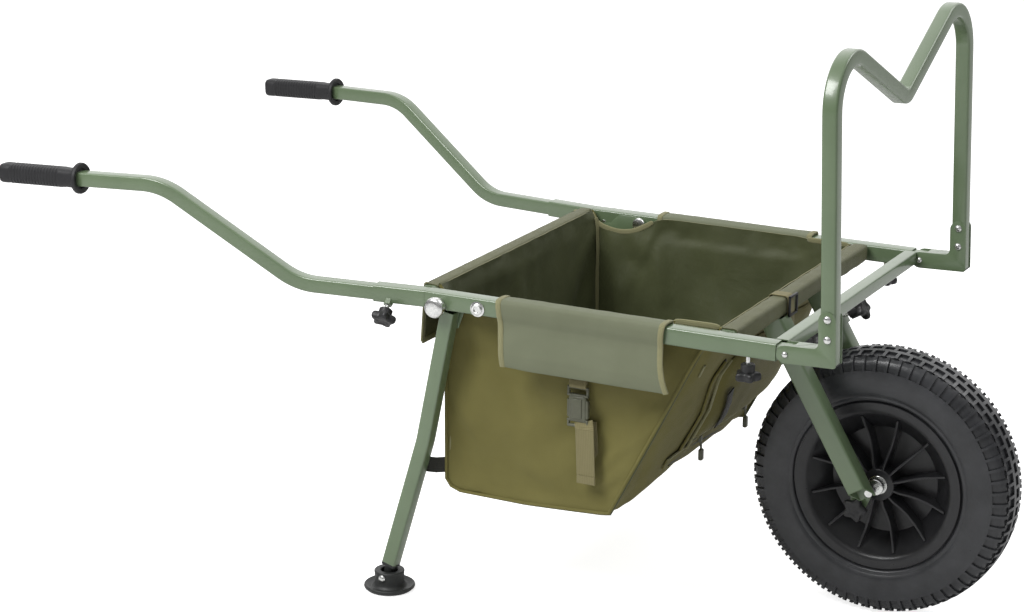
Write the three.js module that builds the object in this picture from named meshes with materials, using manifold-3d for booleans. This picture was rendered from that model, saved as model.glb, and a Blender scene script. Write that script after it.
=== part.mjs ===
// Single-wheel fishing trolley: a square-tube barrow frame with a hung cloth bag, a pneumatic wheel in a
// removable fork, folding legs, sliding handles and a folding M-shaped rack. Millimetres, +Z up, +X forward.
import * as THREE from 'three';
import { mergeVertices } from 'three/addons/utils/BufferGeometryUtils.js';
import Module from 'manifold-3d';

const wasm = await Module();
wasm.setup();

// General fits
const gap = 0.3;
const overrun = 40;
const tubeWall = 1.5;
const tubeCorner = 2.5;
const screwRadius = 3;
const boltSides = 10;
const roundSides = 18;
const bendSteps = 5;

// Rails: square tubes, centred this far either side of the middle plane
const railSize = 25;
const railTop = 472;
const railY = 274.5;
const railRear = -608;
const railFront = -66;
const railBore = railSize - 2 * tubeWall;
const railZ = railTop - railSize / 2;
const railBottom = railTop - railSize;
const railInnerY = railY - railSize / 2;
const railOuterY = railY + railSize / 2;

// Cross tubes between the rails
const crossSize = 20;
const rearTubeX = -614;
const frontTubeSize = 22;
const frontTubeX = -147;
const frontBarX = -67;
const crossTubeEnd = railInnerY - gap;
const frontBarEnd = crossTubeEnd - gap;

// Wheel
const wheelRadius = 200;
const tyreHalfWidth = 45;
const rimFlangeRadius = 126;
const rimHalfWidth = 40;
const rimWall = 4;
const barrelRadius = 108;
const barrelFlat = 21.6;
const beadSeatRadius = 112;
const hubRadius = 24;
const hubHalfWidth = 34;
const hubBoreRadius = 8;
const wellRadius = 90;
const wellFlat = 6;
const lipRadius = 107;
const webRadius = 80;
const webHalf = 3;
const ribCount = 12;
const ribThickness = 4;
const ribPhase = 0.279;
const ribEndRadius = 104;
const ribDipRadius = 60;
const ribDip = 10;
const wheelSides = 40;
const bearingRadius = 14;
const bearingWidth = 9;
const axleRadius = 6;
const collarRadius = 12;
const collarLength = 12;
const valveRadius = 4;
const valveY = 14;

// Fork: arms slope down and forward from the front tube to the axle
const forkSlope = 1.0385;
const forkAxleOffset = 3.6;
const forkArmSize = 28;
const forkArmWall = 2;
const forkArmY = 87;
const forkArmTop = 278;
const forkArmPastAxle = 8;
const forkArmBevel = 20;
const forkSocketWall = 2.7;
const forkSocketLow = 220;
const forkKnobAt = 232;
const forkKnobReach = 50;
const forkTabThickness = 3;
const forkTabRise = 34;
const forkTabReach = 31;
const forkTabAlong = 17;
const forkTabSet = 17;
const forkTabEdge = 8;

// Star knobs
const knobRadius = 19;
const knobLobes = 5;
const knobLobeDepth = 3.5;
const knobThickness = 12;
const knobCollarRadius = 9;
const knobCollarHeight = 4;
const knobPointsPerLobe = 4;
const frontKnobX = -110;
const frontKnobZ = 417;
const axleKnobGrip = 6;

// Handles: bent tubes in sockets that splay outward from the rails' rear ends
const socketLength = 82;
const socketYaw = 0.1134;
const handleSize = railBore - 2 * gap;
const handleWall = 1.5;
const handleInset = 6;
const handleLowBend = 207;
const handleHighBend = 413;
const handleRise = 135.4;
const handleLean = 28.5;
const handleGripAt = 551;
const handleGripDroop = 3.3;
const handleEndAt = 685.5;
const handleEndDroop = 8.5;
const handleEndLean = 17;
const handleBendRadius = 135;
const handleKnobAt = 58;
const handleKnobReach = 37;
const bossRadius = 7;
const bossReach = 21;
const gripSize = 29;
const gripCorner = 7;
const gripEndWall = 4;
const guardRadius = 23.5;
const guardThickness = 8;

// Front rack: M-shaped tube in two folded brackets on tongues that slide in the rails
const rackTubeSize = 22;
const rackLean = 0.035;
const pivotX = -52.5;
const pivotHeadRadius = 4.5;
const pivotHeadHeight = 3;
const uprightReach = 60.5;
const rackTopBend = 66;
const rackValleyBend = 30;
const rackValleyRise = 302.5;
const rackDiagonal = 0.471;
const rackFootDrop = 9;
const bracketSheet = 1.5;
const bracketRadius = 12.5;
const bracketLegTop = 65;
const bracketLegWidth = 25;
const bracketWebStart = 11;
const bracketFillet = 8;
const rackBoltRises = [26.5, 54.5];
const rackBoltHeadRadius = 5.5;
const rackPlugHeight = 2.4;
const tongueWidth = railBore - 2 * gap;
const tongueHeight = 20.4;
const tongueWall = 2;
const tongueRear = -150;

// Legs: fold forward on the pivot bolt, held down by a pull pin over the pivot plate
const legSize = 22;
const legTopX = -572.5;
const legTopDrop = 3;
const legBendX = -614;
const legBendZ = 240;
const legEndX = -668;
const legEndZ = 42;
const legSplay = 10;
const legBendRadius = 220;
const legPivotX = -521;
const legPivotZ = 457;
const legPinX = -585;
const legPinZ = 453;
const pinRadius = 4;
const pinHeadRadius = 15;
const pinHeadLength = 18;
const pinTipY = 259.6;
const pivotBoltRadius = 4;
const pivotBoltHeadRadius = 11;
const pivotBoltHeadHeight = 5;
const platePlay = gap;
const plateThickness = 2.4;
const plateEnd = 12;
const plateDrop = 42;
const plateFoot = 15;
const legCapHeight = 4;
const stemRadius = 8;

// Feet: rubber cups on a dished disc
const footX = -671;
const footY = 285;
const footPivotZ = 22;
const footDiscRadius = 38.4;
const footDiscEdge = 4;
const footLip = 8;
const cupRadius = 22.5;
const cupBore = 13;
const cupHeight = 30;
const footFloor = 8;
const footBoltRadius = 3;
const footBoltHeadRadius = 5.5;
const footBoltHeadHeight = 2.5;

// Bag, hung from the cross tubes by its sleeves, and its flaps and straps
const clothWall = 3;
const flapCloth = 2;
const bagSideGap = 12;
const bagHalfWidth = railY - railSize / 2 - bagSideGap;
const bagTop = 456;
const bagRearX = -592;
const bagRearFoot = 177;
const bagHeelRun = 24;
const bagHeelDrop = 16;
const bagHeelRise = 10;
const bagSagX = -460;
const bagSagZ = 161;
const bagToeX = -326;
const bagToeZ = 170;
const bagShinX = -209.5;
const bagShinZ = 398;
const bagNeckX = -190;
const bagNeckZ = 434;
const bagThroatX = -173;
const bagThroatZ = 447;
const bagFrontX = -163;
const sleeveCloth = 1.8;
const sleeveEnd = 255;
const flapRear = -489;
const flapFront = -222;
const flapClearance = 1;
const flapLow = 382;
const flapInnerLow = 416;
const flapShoulderDrop = 5;
const flapShoulder = railZ - railSize / 2 - flapShoulderDrop;
const rearFlapLow = 382;
const rearFlapEnd = 246;
const strapRear = -386;
const strapFront = -351;
const strapLow = 212;
const strapTop = 400;
const buckleRear = -394;
const buckleFront = -343;
const buckleLow = 300;
const buckleTop = 364;
const buckleDepth = 7;
const tetherLow = 181;
const tetherTop = 207;
const tetherRear = -640;
const tetherFront = -572;
const tetherY = 263.1;

const finishes = {
  frame: { color: 0x7f8f78, roughness: 0.45, metalness: 0.2 },
  steel: { color: 0xc9ccce, roughness: 0.25, metalness: 0.9 },
  plastic: { color: 0x1c1d1e, roughness: 0.55, metalness: 0 },
  rubber: { color: 0x202224, roughness: 0.75, metalness: 0 },
  bagCloth: { color: 0x6a6436, roughness: 0.9, metalness: 0 },
  flapCloth: { color: 0x6d7360, roughness: 0.9, metalness: 0 },
  webbing: { color: 0x77704a, roughness: 0.9, metalness: 0 },
};

// Turns a closed geometry into a solid, leaving out the zero-area triangles at poles
function toSolid(geometry) {
  const bare = geometry.clone();
  bare.deleteAttribute('normal');
  bare.deleteAttribute('uv');
  const merged = mergeVertices(bare);
  const corners = merged.index.array;
  const kept = [];
  for (let i = 0; i < corners.length; i += 3) {
    const [a, b, c] = [corners[i], corners[i + 1], corners[i + 2]];
    if (a !== b && b !== c && c !== a) {
      kept.push(a, b, c);
    }
  }
  const vertProperties = new Float32Array(merged.attributes.position.array);
  return new wasm.Manifold(new wasm.Mesh({ numProp: 3, vertProperties, triVerts: new Uint32Array(kept) }));
}

function toGeometry(solid) {
  const mesh = solid.getMesh();
  const geometry = new THREE.BufferGeometry();
  geometry.setAttribute('position', new THREE.BufferAttribute(new Float32Array(mesh.vertProperties), 3));
  geometry.setIndex(new THREE.BufferAttribute(new Uint32Array(mesh.triVerts), 1));
  return geometry;
}

function fuse(...geometries) {
  return toGeometry(geometries.map(toSolid).reduce((whole, next) => whole.add(next)));
}

function carve(geometry, ...cutters) {
  return toGeometry(cutters.map(toSolid).reduce((whole, next) => whole.subtract(next), toSolid(geometry)));
}

// Box between two corners, given in any order
function box(x0, x1, y0, y1, z0, z1) {
  const geometry = new THREE.BoxGeometry(Math.abs(x1 - x0), Math.abs(y1 - y0), Math.abs(z1 - z0));
  return geometry.translate((x0 + x1) / 2, (y0 + y1) / 2, (z0 + z1) / 2);
}

// Cylinder along Y between two places
function pinY(radius, x, z, y0, y1, facets = boltSides) {
  const geometry = new THREE.CylinderGeometry(radius, radius, Math.abs(y1 - y0), facets);
  return geometry.translate(x, (y0 + y1) / 2, z);
}

// Cylinder along Z between two heights
function pinZ(radius, x, y, z0, z1) {
  const geometry = new THREE.CylinderGeometry(radius, radius, Math.abs(z1 - z0), boltSides);
  return geometry.rotateX(Math.PI / 2).translate(x, y, (z0 + z1) / 2);
}

// Square outline with cut corners, centred on the origin
function squareOutline(size, corner) {
  const half = size / 2;
  const flat = half - corner;
  const places = [[half, -flat], [half, flat], [flat, half], [-flat, half]];
  return places.concat(places.map(([x, y]) => [-x, -y])).map(([x, y]) => new THREE.Vector2(x, y));
}

function tubeShape(size, wall, corner = tubeCorner) {
  const shape = new THREE.Shape(squareOutline(size, corner));
  shape.holes.push(new THREE.Path(squareOutline(size - 2 * wall, corner - wall / 2)));
  return shape;
}

function barShape(size, corner = tubeCorner) {
  return new THREE.Shape(squareOutline(size, corner));
}

// A path through given stations, one ring of the sweep at each
class StationPath extends THREE.Curve {
  constructor(stations) {
    super();
    this.stations = stations;
  }

  getPoint(share, target = new THREE.Vector3()) {
    const last = this.stations.length - 1;
    const from = Math.min(Math.floor(share * last), last - 1);
    return target.lerpVectors(this.stations[from], this.stations[from + 1], share * last - from);
  }

  getUtoTmapping(share) {
    return share;
  }
}

// Stations along straight runs whose corners are bent to one radius
function bentStations(corners, radius, arcSteps) {
  const stations = [corners[0]];
  for (let i = 1; i < corners.length - 1; i += 1) {
    const back = corners[i - 1].clone().sub(corners[i]).normalize();
    const on = corners[i + 1].clone().sub(corners[i]).normalize();
    const turn = Math.PI - back.angleTo(on);
    const bend = Array.isArray(radius) ? radius[i - 1] : radius;
    const start = corners[i].clone().addScaledVector(back, bend * Math.tan(turn / 2));
    const centreWay = back.clone().add(on).normalize();
    const centre = corners[i].clone().addScaledVector(centreWay, bend / Math.cos(turn / 2));
    const outward = start.clone().sub(centre);
    const travel = back.clone().multiplyScalar(-bend);
    for (let step = 0; step <= arcSteps; step += 1) {
      const angle = turn * step / arcSteps;
      const place = centre.clone().addScaledVector(outward, Math.cos(angle));
      stations.push(place.addScaledVector(travel, Math.sin(angle)));
    }
  }
  stations.push(corners[corners.length - 1]);
  return stations;
}

function sweep(shape, stations) {
  const extrudePath = new StationPath(stations);
  return new THREE.ExtrudeGeometry(shape, { steps: stations.length - 1, extrudePath, curveSegments: 1 });
}

// Outline in the XZ plane, extruded between two places on Y
function slabY(points, y0, y1) {
  const depth = Math.abs(y1 - y0);
  const shape = new THREE.Shape(points.map(([x, z]) => new THREE.Vector2(x, z)));
  const geometry = new THREE.ExtrudeGeometry(shape, { depth, bevelEnabled: false, curveSegments: 1 });
  return geometry.rotateX(Math.PI / 2).translate(0, Math.max(y0, y1), 0);
}

// Outline in the XY plane on one side, extruded between two heights
function slabZ(z0, z1, points, sign) {
  const shape = new THREE.Shape(points.map(([x, y]) => new THREE.Vector2(x, sign * y)));
  return new THREE.ExtrudeGeometry(shape, { depth: z1 - z0, bevelEnabled: false }).translate(0, 0, z0);
}

// Profile of [radius, along] points turned about Y
function turned(profile, facets) {
  return new THREE.LatheGeometry(profile.map(([radius, along]) => new THREE.Vector2(radius, along)), facets);
}

// The other half of a profile that is the same both sides of its middle
function flip(profile) {
  return profile.map(([radius, along]) => [radius, -along]).reverse();
}

const root = new THREE.Group();

function addMesh(name, geometry, finish, parent = root) {
  const mesh = new THREE.Mesh(geometry, new THREE.MeshStandardMaterial(finishes[finish]));
  mesh.name = name;
  parent.add(mesh);
  return mesh;
}

const sides = [['left', 1], ['right', -1]];

// Star knob on its screw: the screw's tip at the origin, the middle of the knob at the reach
function starKnob(reach) {
  const points = [];
  const count = knobLobes * knobPointsPerLobe;
  for (let i = 0; i < count; i += 1) {
    const angle = 2 * Math.PI * i / count;
    const radius = knobRadius - knobLobeDepth * (1 - Math.cos(knobLobes * angle)) / 2;
    points.push(new THREE.Vector2(radius * Math.cos(angle), radius * Math.sin(angle)));
  }
  const low = reach - knobThickness / 2;
  const shape = new THREE.Shape(points);
  const body = new THREE.ExtrudeGeometry(shape, { depth: knobThickness, bevelEnabled: false });
  body.translate(0, 0, low);
  const collar = pinZ(knobCollarRadius, 0, 0, low - knobCollarHeight, low + knobCollarHeight);
  return fuse(body, collar, pinZ(screwRadius, 0, 0, 0, reach));
}

// Bolt along Y with low domed heads, from one outer end to the other
function headedBolt(radius, headRadius, headHeight, length) {
  const top = headRadius - headHeight / 2;
  return turned([
    [0, 0], [top, 0], [headRadius, headHeight], [radius, headHeight], [radius, length - headHeight],
    [headRadius, length - headHeight], [top, length], [0, length],
  ], boltSides);
}

function addRails() {
  for (const [side, sign] of sides) {
    const stations = [railRear, railFront].map((x) => new THREE.Vector3(x, sign * railY, railZ));
    const throughY = [sign * (railInnerY - overrun), sign * (railOuterY + overrun)];
    const tube = carve(
      sweep(tubeShape(railSize, tubeWall), stations),
      pinY(pivotBoltRadius + gap, legPivotX, legPivotZ, ...throughY),
      pinY(pinRadius + gap, legPinX, legPinZ, ...throughY),
      pinZ(screwRadius + gap, frontKnobX, sign * railY, railBottom - overrun, railZ),
    );
    addMesh(`rail_${side}`, tube, 'frame');
  }
}

function addCrossTubes() {
  const cross = (size, x, end) => sweep(
    tubeShape(size, tubeWall),
    [new THREE.Vector3(x, -end, railTop - size / 2), new THREE.Vector3(x, end, railTop - size / 2)],
  );
  addMesh('rear_tube', cross(crossSize, rearTubeX, crossTubeEnd), 'frame');
  addMesh('front_tube', cross(frontTubeSize, frontTubeX, crossTubeEnd), 'frame');
  addMesh('front_bar', cross(crossSize, frontBarX, frontBarEnd), 'frame');
}

// The handle's centreline in the socket's own frame: -X runs rearward, the lean is outward
function handleCorners(sign) {
  return [
    new THREE.Vector3(-handleInset, 0, 0),
    new THREE.Vector3(-handleLowBend, 0, 0),
    new THREE.Vector3(-handleHighBend, sign * handleLean, handleRise),
    new THREE.Vector3(-handleGripAt, sign * handleLean, handleRise - handleGripDroop),
    new THREE.Vector3(-handleEndAt, sign * handleEndLean, handleRise - handleEndDroop),
  ];
}

function addHandles() {
  for (const [side, sign] of sides) {
    const splay = new THREE.Group();
    splay.position.set(railRear, sign * railY, railZ);
    splay.rotation.z = -sign * socketYaw;
    root.add(splay);
    const knobWay = new THREE.Vector3(0, sign, -1).normalize();
    const knobTurn = new THREE.Quaternion().setFromUnitVectors(new THREE.Vector3(0, 0, 1), knobWay);
    const along = (geometry) => geometry.applyQuaternion(knobTurn).translate(-handleKnobAt, 0, 0);
    const boss = along(pinZ(bossRadius, 0, 0, railSize / 2, bossReach));
    const bossBore = along(pinZ(screwRadius + gap, 0, 0, 0, overrun));
    const bore = sweep(
      barShape(railBore, tubeCorner - tubeWall / 2),
      [new THREE.Vector3(overrun, 0, 0), new THREE.Vector3(-socketLength - overrun, 0, 0)],
    );
    const sleeve = sweep(
      barShape(railSize),
      [new THREE.Vector3(railSize, 0, 0), new THREE.Vector3(-socketLength, 0, 0)],
    );
    const joint = box(-gap, railSize + overrun, -overrun, overrun, -overrun, overrun);
    joint.rotateZ(sign * socketYaw);
    addMesh(`handle_socket_${side}`, carve(fuse(sleeve, boss), bore, bossBore, joint), 'frame', splay);

    const corners = handleCorners(sign);
    const stations = bentStations(corners, handleBendRadius, bendSteps);
    addMesh(`handle_tube_${side}`, sweep(tubeShape(handleSize, handleWall), stations), 'frame', splay);

    const tip = corners[4];
    const way = tip.clone().sub(corners[3]).normalize();
    const gripEnd = tip.clone().addScaledVector(way, gripEndWall + gap);
    const gripBody = sweep(barShape(gripSize, gripCorner), [corners[3], gripEnd]);
    const guard = new THREE.CylinderGeometry(guardRadius, guardRadius, guardThickness, roundSides);
    guard.applyQuaternion(new THREE.Quaternion().setFromUnitVectors(new THREE.Vector3(0, 1, 0), way));
    guard.translate(...corners[3].toArray());
    const coreCorners = corners.slice(0, 4).concat(tip.clone().addScaledVector(way, gap));
    const coreStations = bentStations(coreCorners, handleBendRadius, bendSteps);
    const core = sweep(barShape(handleSize + 2 * gap), coreStations);
    addMesh(`grip_${side}`, carve(fuse(gripBody, guard), core), 'rubber', splay);

    const screwTip = (handleSize / 2 - tubeCorner / 2) * Math.SQRT2 + gap;
    const knob = starKnob(handleKnobReach - screwTip + knobThickness / 2);
    addMesh(`handle_knob_${side}`, along(knob.translate(0, 0, screwTip)), 'plastic', splay);
  }
}

const forkDown = new THREE.Vector3(Math.cos(forkSlope), 0, -Math.sin(forkSlope));
const forkFace = new THREE.Vector3(Math.sin(forkSlope), 0, Math.cos(forkSlope));

// A place on a fork arm: so far up from the axle, so far out of its front face, on one side
function onFork(up, out, y) {
  const axle = new THREE.Vector3(-forkAxleOffset, y, wheelRadius);
  return axle.addScaledVector(forkDown, -up).addScaledVector(forkFace, out);
}

function addFork() {
  const tubeUnder = railTop - frontTubeSize - gap;
  const knobTurn = new THREE.Quaternion().setFromUnitVectors(new THREE.Vector3(0, 0, 1), forkFace);
  for (const [side, sign] of sides) {
    const y = sign * forkArmY;
    const socketSize = forkArmSize + 2 * (gap + forkSocketWall);
    const screwBase = onFork(forkKnobAt, forkArmSize / 2 + gap, y);
    const screwBore = pinZ(screwRadius + gap, 0, 0, 0, overrun).applyQuaternion(knobTurn);
    const sleeve = sweep(
      tubeShape(socketSize, forkSocketWall),
      [onFork(forkArmTop + overrun, 0, y), onFork(forkSocketLow, 0, y)],
    );
    const aboveTube = box(
      frontTubeX - 2 * overrun, frontTubeX + 2 * overrun, y - overrun, y + overrun,
      tubeUnder, tubeUnder + 2 * overrun,
    );
    const socket = carve(sleeve, aboveTube, screwBore.translate(...screwBase.toArray()));
    addMesh(`fork_socket_${side}`, socket, 'frame');

    const innerFace = forkArmY - forkArmSize / 2;
    const tabInner = innerFace - forkTabSet - forkTabThickness;
    const tabLow = -forkTabAlong - forkTabEdge;
    const tabHigh = -forkTabAlong + forkTabEdge;
    const asPlaces = (points) => points.map(([up, out]) => {
      const place = onFork(up, out, 0);
      return [place.x, place.z];
    });
    const plate = slabY(asPlaces([
      [forkTabRise, 0], [-forkArmPastAxle + gap, 0], [tabLow, -forkTabReach + forkTabEdge],
      [tabLow, -forkTabReach - forkTabEdge], [tabHigh, -forkTabReach - forkTabEdge],
      [forkTabRise, -forkArmSize / 2],
    ]), sign * tabInner, sign * (tabInner + forkTabThickness));
    const step = slabY(asPlaces([
      [forkTabRise, 0], [forkTabAlong, 0], [forkTabAlong, -forkArmSize / 2], [forkTabRise, -forkArmSize / 2],
    ]), sign * tabInner, sign * (innerFace + forkArmWall / 2));
    const slot = box(-axleRadius - gap, axleRadius + gap, y - overrun, y + overrun, -overrun, 0);
    slot.rotateY(forkSlope - Math.PI / 2).translate(0, 0, wheelRadius);
    const knobPlace = onFork(-forkTabAlong, -forkTabReach, 0);
    const armTube = sweep(
      tubeShape(forkArmSize, forkArmWall),
      [onFork(forkArmTop, 0, y), onFork(-forkArmPastAxle, 0, y)],
    );
    const bevelTurn = new THREE.Matrix4().makeBasis(
      forkDown.clone().negate(), new THREE.Vector3(0, 1, 0), forkFace.clone().negate(),
    ).setPosition(onFork(-forkArmPastAxle, 0, sign * innerFace));
    const bevel = box(-overrun, 0, -overrun, overrun, -overrun, overrun)
      .rotateZ(-sign * Math.atan2(forkArmBevel, forkArmSize)).applyMatrix4(bevelTurn);
    const arm = carve(
      fuse(carve(armTube, bevel), plate, step),
      pinY(axleRadius + gap, 0, wheelRadius, y - overrun, y + overrun),
      slot,
      pinY(screwRadius + gap, knobPlace.x, knobPlace.z, y - overrun, y + overrun),
    );
    addMesh(`fork_arm_${side}`, arm, 'frame');

    const clamp = starKnob(forkKnobReach - forkArmSize / 2 - gap);
    const clampKnob = addMesh(`fork_knob_${side}`, clamp, 'plastic');
    clampKnob.position.copy(screwBase);
    clampKnob.quaternion.copy(knobTurn);

    const keeperTip = tabInner - axleKnobGrip / 2;
    const keeper = starKnob(innerFace - 2 * gap - knobThickness / 2 - keeperTip);
    const keeperKnob = addMesh(`axle_knob_${side}`, keeper, 'plastic');
    keeperKnob.position.set(knobPlace.x, sign * keeperTip, knobPlace.z);
    keeperKnob.rotation.x = -sign * Math.PI / 2;
  }
  const axleEnd = forkArmY;
  const collarStart = hubHalfWidth + 2 * gap;
  const collarEnd = collarStart + collarLength;
  const axleHalf = [
    [axleRadius, collarStart], [collarRadius, collarStart], [collarRadius, collarEnd],
    [axleRadius, collarEnd], [axleRadius, axleEnd], [0, axleEnd],
  ];
  addMesh('axle', turned([...flip(axleHalf), ...axleHalf], roundSides).translate(0, 0, wheelRadius), 'steel');
}

// Closed half-profile shares: each point as [share of the way from rim flange to tread, share of the half width]
const tyreOuterShares = [
  [0.027, 0.9], [0.162, 0.975], [0.392, 1], [0.649, 0.95], [0.878, 0.72], [1, 0.31],
];
const tyreInnerShares = [
  [0.884, 0.3], [0.622, 0.85], [0.189, 0.87], [-0.108, 0.58],
];

function addWheel() {
  const wheel = new THREE.Group();
  wheel.position.z = wheelRadius;
  root.add(wheel);

  const flange = rimHalfWidth - rimWall / 2;
  const seat = flange - rimWall;
  const outerHalf = [
    [wellRadius, wellFlat], [barrelRadius, barrelFlat], [beadSeatRadius, seat], [rimFlangeRadius, flange],
    [rimFlangeRadius, rimHalfWidth],
  ];
  const innerHalf = [
    [rimFlangeRadius - rimWall, rimHalfWidth], [lipRadius, seat], [webRadius, webHalf],
    [hubRadius - rimWall / 2, webHalf],
  ];
  const barrelLoop = [...flip(outerHalf), ...outerHalf, ...innerHalf, ...flip(innerHalf)];
  const barrel = turned([...barrelLoop, barrelLoop[0]], wheelSides);
  const bearingSeat = hubHalfWidth - bearingWidth - gap;
  const hubLoop = [
    [hubRadius, -hubHalfWidth], [hubRadius, hubHalfWidth], [bearingRadius + gap, hubHalfWidth],
    [bearingRadius + gap, bearingSeat], [hubBoreRadius, bearingSeat], [hubBoreRadius, -bearingSeat],
    [bearingRadius + gap, -bearingSeat], [bearingRadius + gap, -hubHalfWidth], [hubRadius, -hubHalfWidth],
  ];
  const hub = turned(hubLoop, roundSides);
  const ribHalf = [
    [hubRadius - rimWall / 2, hubHalfWidth - gap], [ribDipRadius, hubHalfWidth - ribDip],
    [ribEndRadius, seat - gap],
  ];
  const ribOutline = [...flip(ribHalf), ...ribHalf].map(([radius, along]) => new THREE.Vector2(radius, along));
  const ribs = Array.from({ length: ribCount }, (_, i) => {
    const shape = new THREE.Shape(ribOutline);
    const rib = new THREE.ExtrudeGeometry(shape, { depth: ribThickness, bevelEnabled: false });
    return rib.translate(0, 0, -ribThickness / 2).rotateY(-ribPhase - 2 * Math.PI * i / ribCount);
  });
  const airSpace = [
    [wellRadius - gap, wellFlat], [barrelRadius - gap, barrelFlat], [rimFlangeRadius, barrelFlat],
  ];
  const airLoop = [...flip(airSpace), ...airSpace];
  const trimmedRibs = carve(fuse(...ribs), turned([...airLoop, airLoop[0]].reverse(), wheelSides));
  const valve = pinZ(valveRadius, 0, -valveY, webRadius - valveRadius, barrelRadius).rotateX(Math.PI);
  addMesh('rim', fuse(barrel, hub, trimmedRibs, valve), 'plastic', wheel);

  const bead = [
    [barrelRadius + 1.5 * gap, barrelFlat], [beadSeatRadius + gap, seat - gap],
    [rimFlangeRadius + gap, flange - gap],
  ];
  const section = wheelRadius - rimFlangeRadius;
  const scaled = (shares) => shares.map(
    ([rise, along]) => [rimFlangeRadius + rise * section, along * tyreHalfWidth],
  );
  const outerWall = [...bead, ...scaled(tyreOuterShares)];
  const innerWall = scaled(tyreInnerShares);
  const tyreLoop = [...outerWall, ...flip(outerWall), ...flip(innerWall), ...innerWall];
  addMesh('tyre', turned([...tyreLoop, tyreLoop[0]].reverse(), wheelSides), 'rubber', wheel);

  for (const [side, sign] of sides) {
    const outerY = sign * hubHalfWidth;
    const innerY = sign * (hubHalfWidth - bearingWidth);
    const bearing = carve(
      pinY(bearingRadius, 0, 0, innerY, outerY, roundSides),
      pinY(axleRadius + gap, 0, 0, innerY - sign * overrun, outerY + sign * overrun, roundSides),
    );
    addMesh(`wheel_bearing_${side}`, bearing, 'steel', wheel);
  }
}

function addRack() {
  const rack = new THREE.Group();
  rack.position.set(pivotX, 0, railZ);
  rack.rotation.y = -rackLean;
  root.add(rack);
  const cheekGap = rackTubeSize + 2 * gap;
  const half = rackTubeSize / 2;

  const corner = rackValleyRise + rackDiagonal * railY;
  const place = (y, rise) => new THREE.Vector3(uprightReach, y, rise);
  const stations = bentStations(
    [place(-railY, -rackFootDrop), place(-railY, corner), place(0, rackValleyRise), place(railY, corner),
      place(railY, -rackFootDrop)],
    [rackTopBend, rackValleyBend, rackTopBend],
    bendSteps,
  );
  const boltHole = (rise) => pinY(screwRadius + gap, uprightReach, rise, -overrun - railY, overrun + railY);
  const bar = carve(sweep(tubeShape(rackTubeSize, tubeWall), stations), ...rackBoltRises.map(boltHole));
  addMesh('rack_bar', bar, 'frame', rack);

  const legBack = uprightReach - half - gap - bracketSheet;
  const legFront = legBack + bracketLegWidth;
  for (const [side, sign] of sides) {
    const y = sign * railY;
    const cheek = new THREE.Shape();
    cheek.absarc(0, 0, bracketRadius, Math.PI / 2, 3 * Math.PI / 2, false);
    cheek.lineTo(legFront, -bracketRadius);
    cheek.lineTo(legFront, bracketLegTop - bracketRadius);
    cheek.absarc(legFront - bracketRadius, bracketLegTop - bracketRadius, bracketRadius, 0, Math.PI, false);
    cheek.lineTo(legBack, bracketRadius + bracketFillet);
    const filletRise = bracketRadius + bracketFillet;
    cheek.absarc(legBack - bracketFillet, filletRise, bracketFillet, 0, -Math.PI / 2, true);
    const width = cheekGap + 2 * bracketSheet;
    const solid = new THREE.ExtrudeGeometry(cheek, { depth: width, bevelEnabled: false, curveSegments: 2 });
    solid.rotateX(Math.PI / 2).translate(0, y + width / 2, 0);
    const webTop = bracketRadius - bracketSheet;
    const legInside = legBack + bracketSheet;
    const between = [y - cheekGap / 2, y + cheekGap / 2];
    const start = -bracketRadius - overrun;
    const hollow = fuse(
      box(start, legInside, ...between, start, webTop),
      box(start, bracketWebStart, ...between, 0, bracketLegTop),
      box(legInside, legFront + overrun, ...between, start, bracketLegTop + overrun),
    );
    const bracket = carve(
      solid, hollow, pinY(screwRadius + gap, 0, 0, y - overrun, y + overrun), ...rackBoltRises.map(boltHole),
    );
    addMesh(`rack_bracket_${side}`, bracket, 'frame', rack);

    const tongueEnd = tongueHeight / 2 - gap;
    const tongueStations = [tongueRear, pivotX + tongueEnd].map((x) => new THREE.Vector3(x, y, railZ));
    const around = [tongueRear - overrun, pivotX + overrun, y - overrun, y + overrun];
    const tongue = carve(
      sweep(tubeShape(tongueWidth, tongueWall), tongueStations),
      box(...around, railZ + tongueHeight / 2, railTop + overrun),
      box(...around, railZ - tongueHeight / 2, railBottom - overrun),
      pinY(screwRadius + gap, pivotX, railZ, y - overrun, y + overrun),
    );
    addMesh(`rack_tongue_${side}`, tongue, 'steel');

    const knob = addMesh(`front_knob_${side}`, starKnob(railBottom + tubeWall - frontKnobZ), 'plastic');
    knob.position.set(frontKnobX, y, railBottom + tubeWall);
    knob.rotation.x = Math.PI;
  }

  const boltLength = cheekGap + 2 * (bracketSheet + gap);
  const across = (headRadius, headHeight, x, rise, y) => {
    const length = boltLength + 2 * headHeight;
    return headedBolt(screwRadius, headRadius, headHeight, length).translate(x, y - length / 2, rise);
  };
  const plugTop = -rackFootDrop - gap;
  const core = half - tubeWall - gap;
  for (const [side, sign] of sides) {
    const y = sign * railY;
    addMesh(`rack_pivot_bolt_${side}`, across(pivotHeadRadius, pivotHeadHeight, pivotX, railZ, y), 'steel');
    for (const [i, rise] of rackBoltRises.entries()) {
      const bolt = across(rackBoltHeadRadius, pivotHeadHeight, uprightReach, rise, y);
      addMesh(`rack_bolt_${side}_${i + 1}`, bolt, 'steel', rack);
    }
    const lidLow = plugTop - rackPlugHeight;
    const lid = box(uprightReach - half, uprightReach + half, y - half, y + half, lidLow, plugTop);
    const plugStations = [plugTop - gap, bracketRadius - rackFootDrop].map((rise) => place(y, rise));
    const plug = sweep(barShape(2 * core), plugStations);
    addMesh(`rack_end_plug_${side}`, fuse(lid, plug), 'plastic', rack);
  }
}

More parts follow.
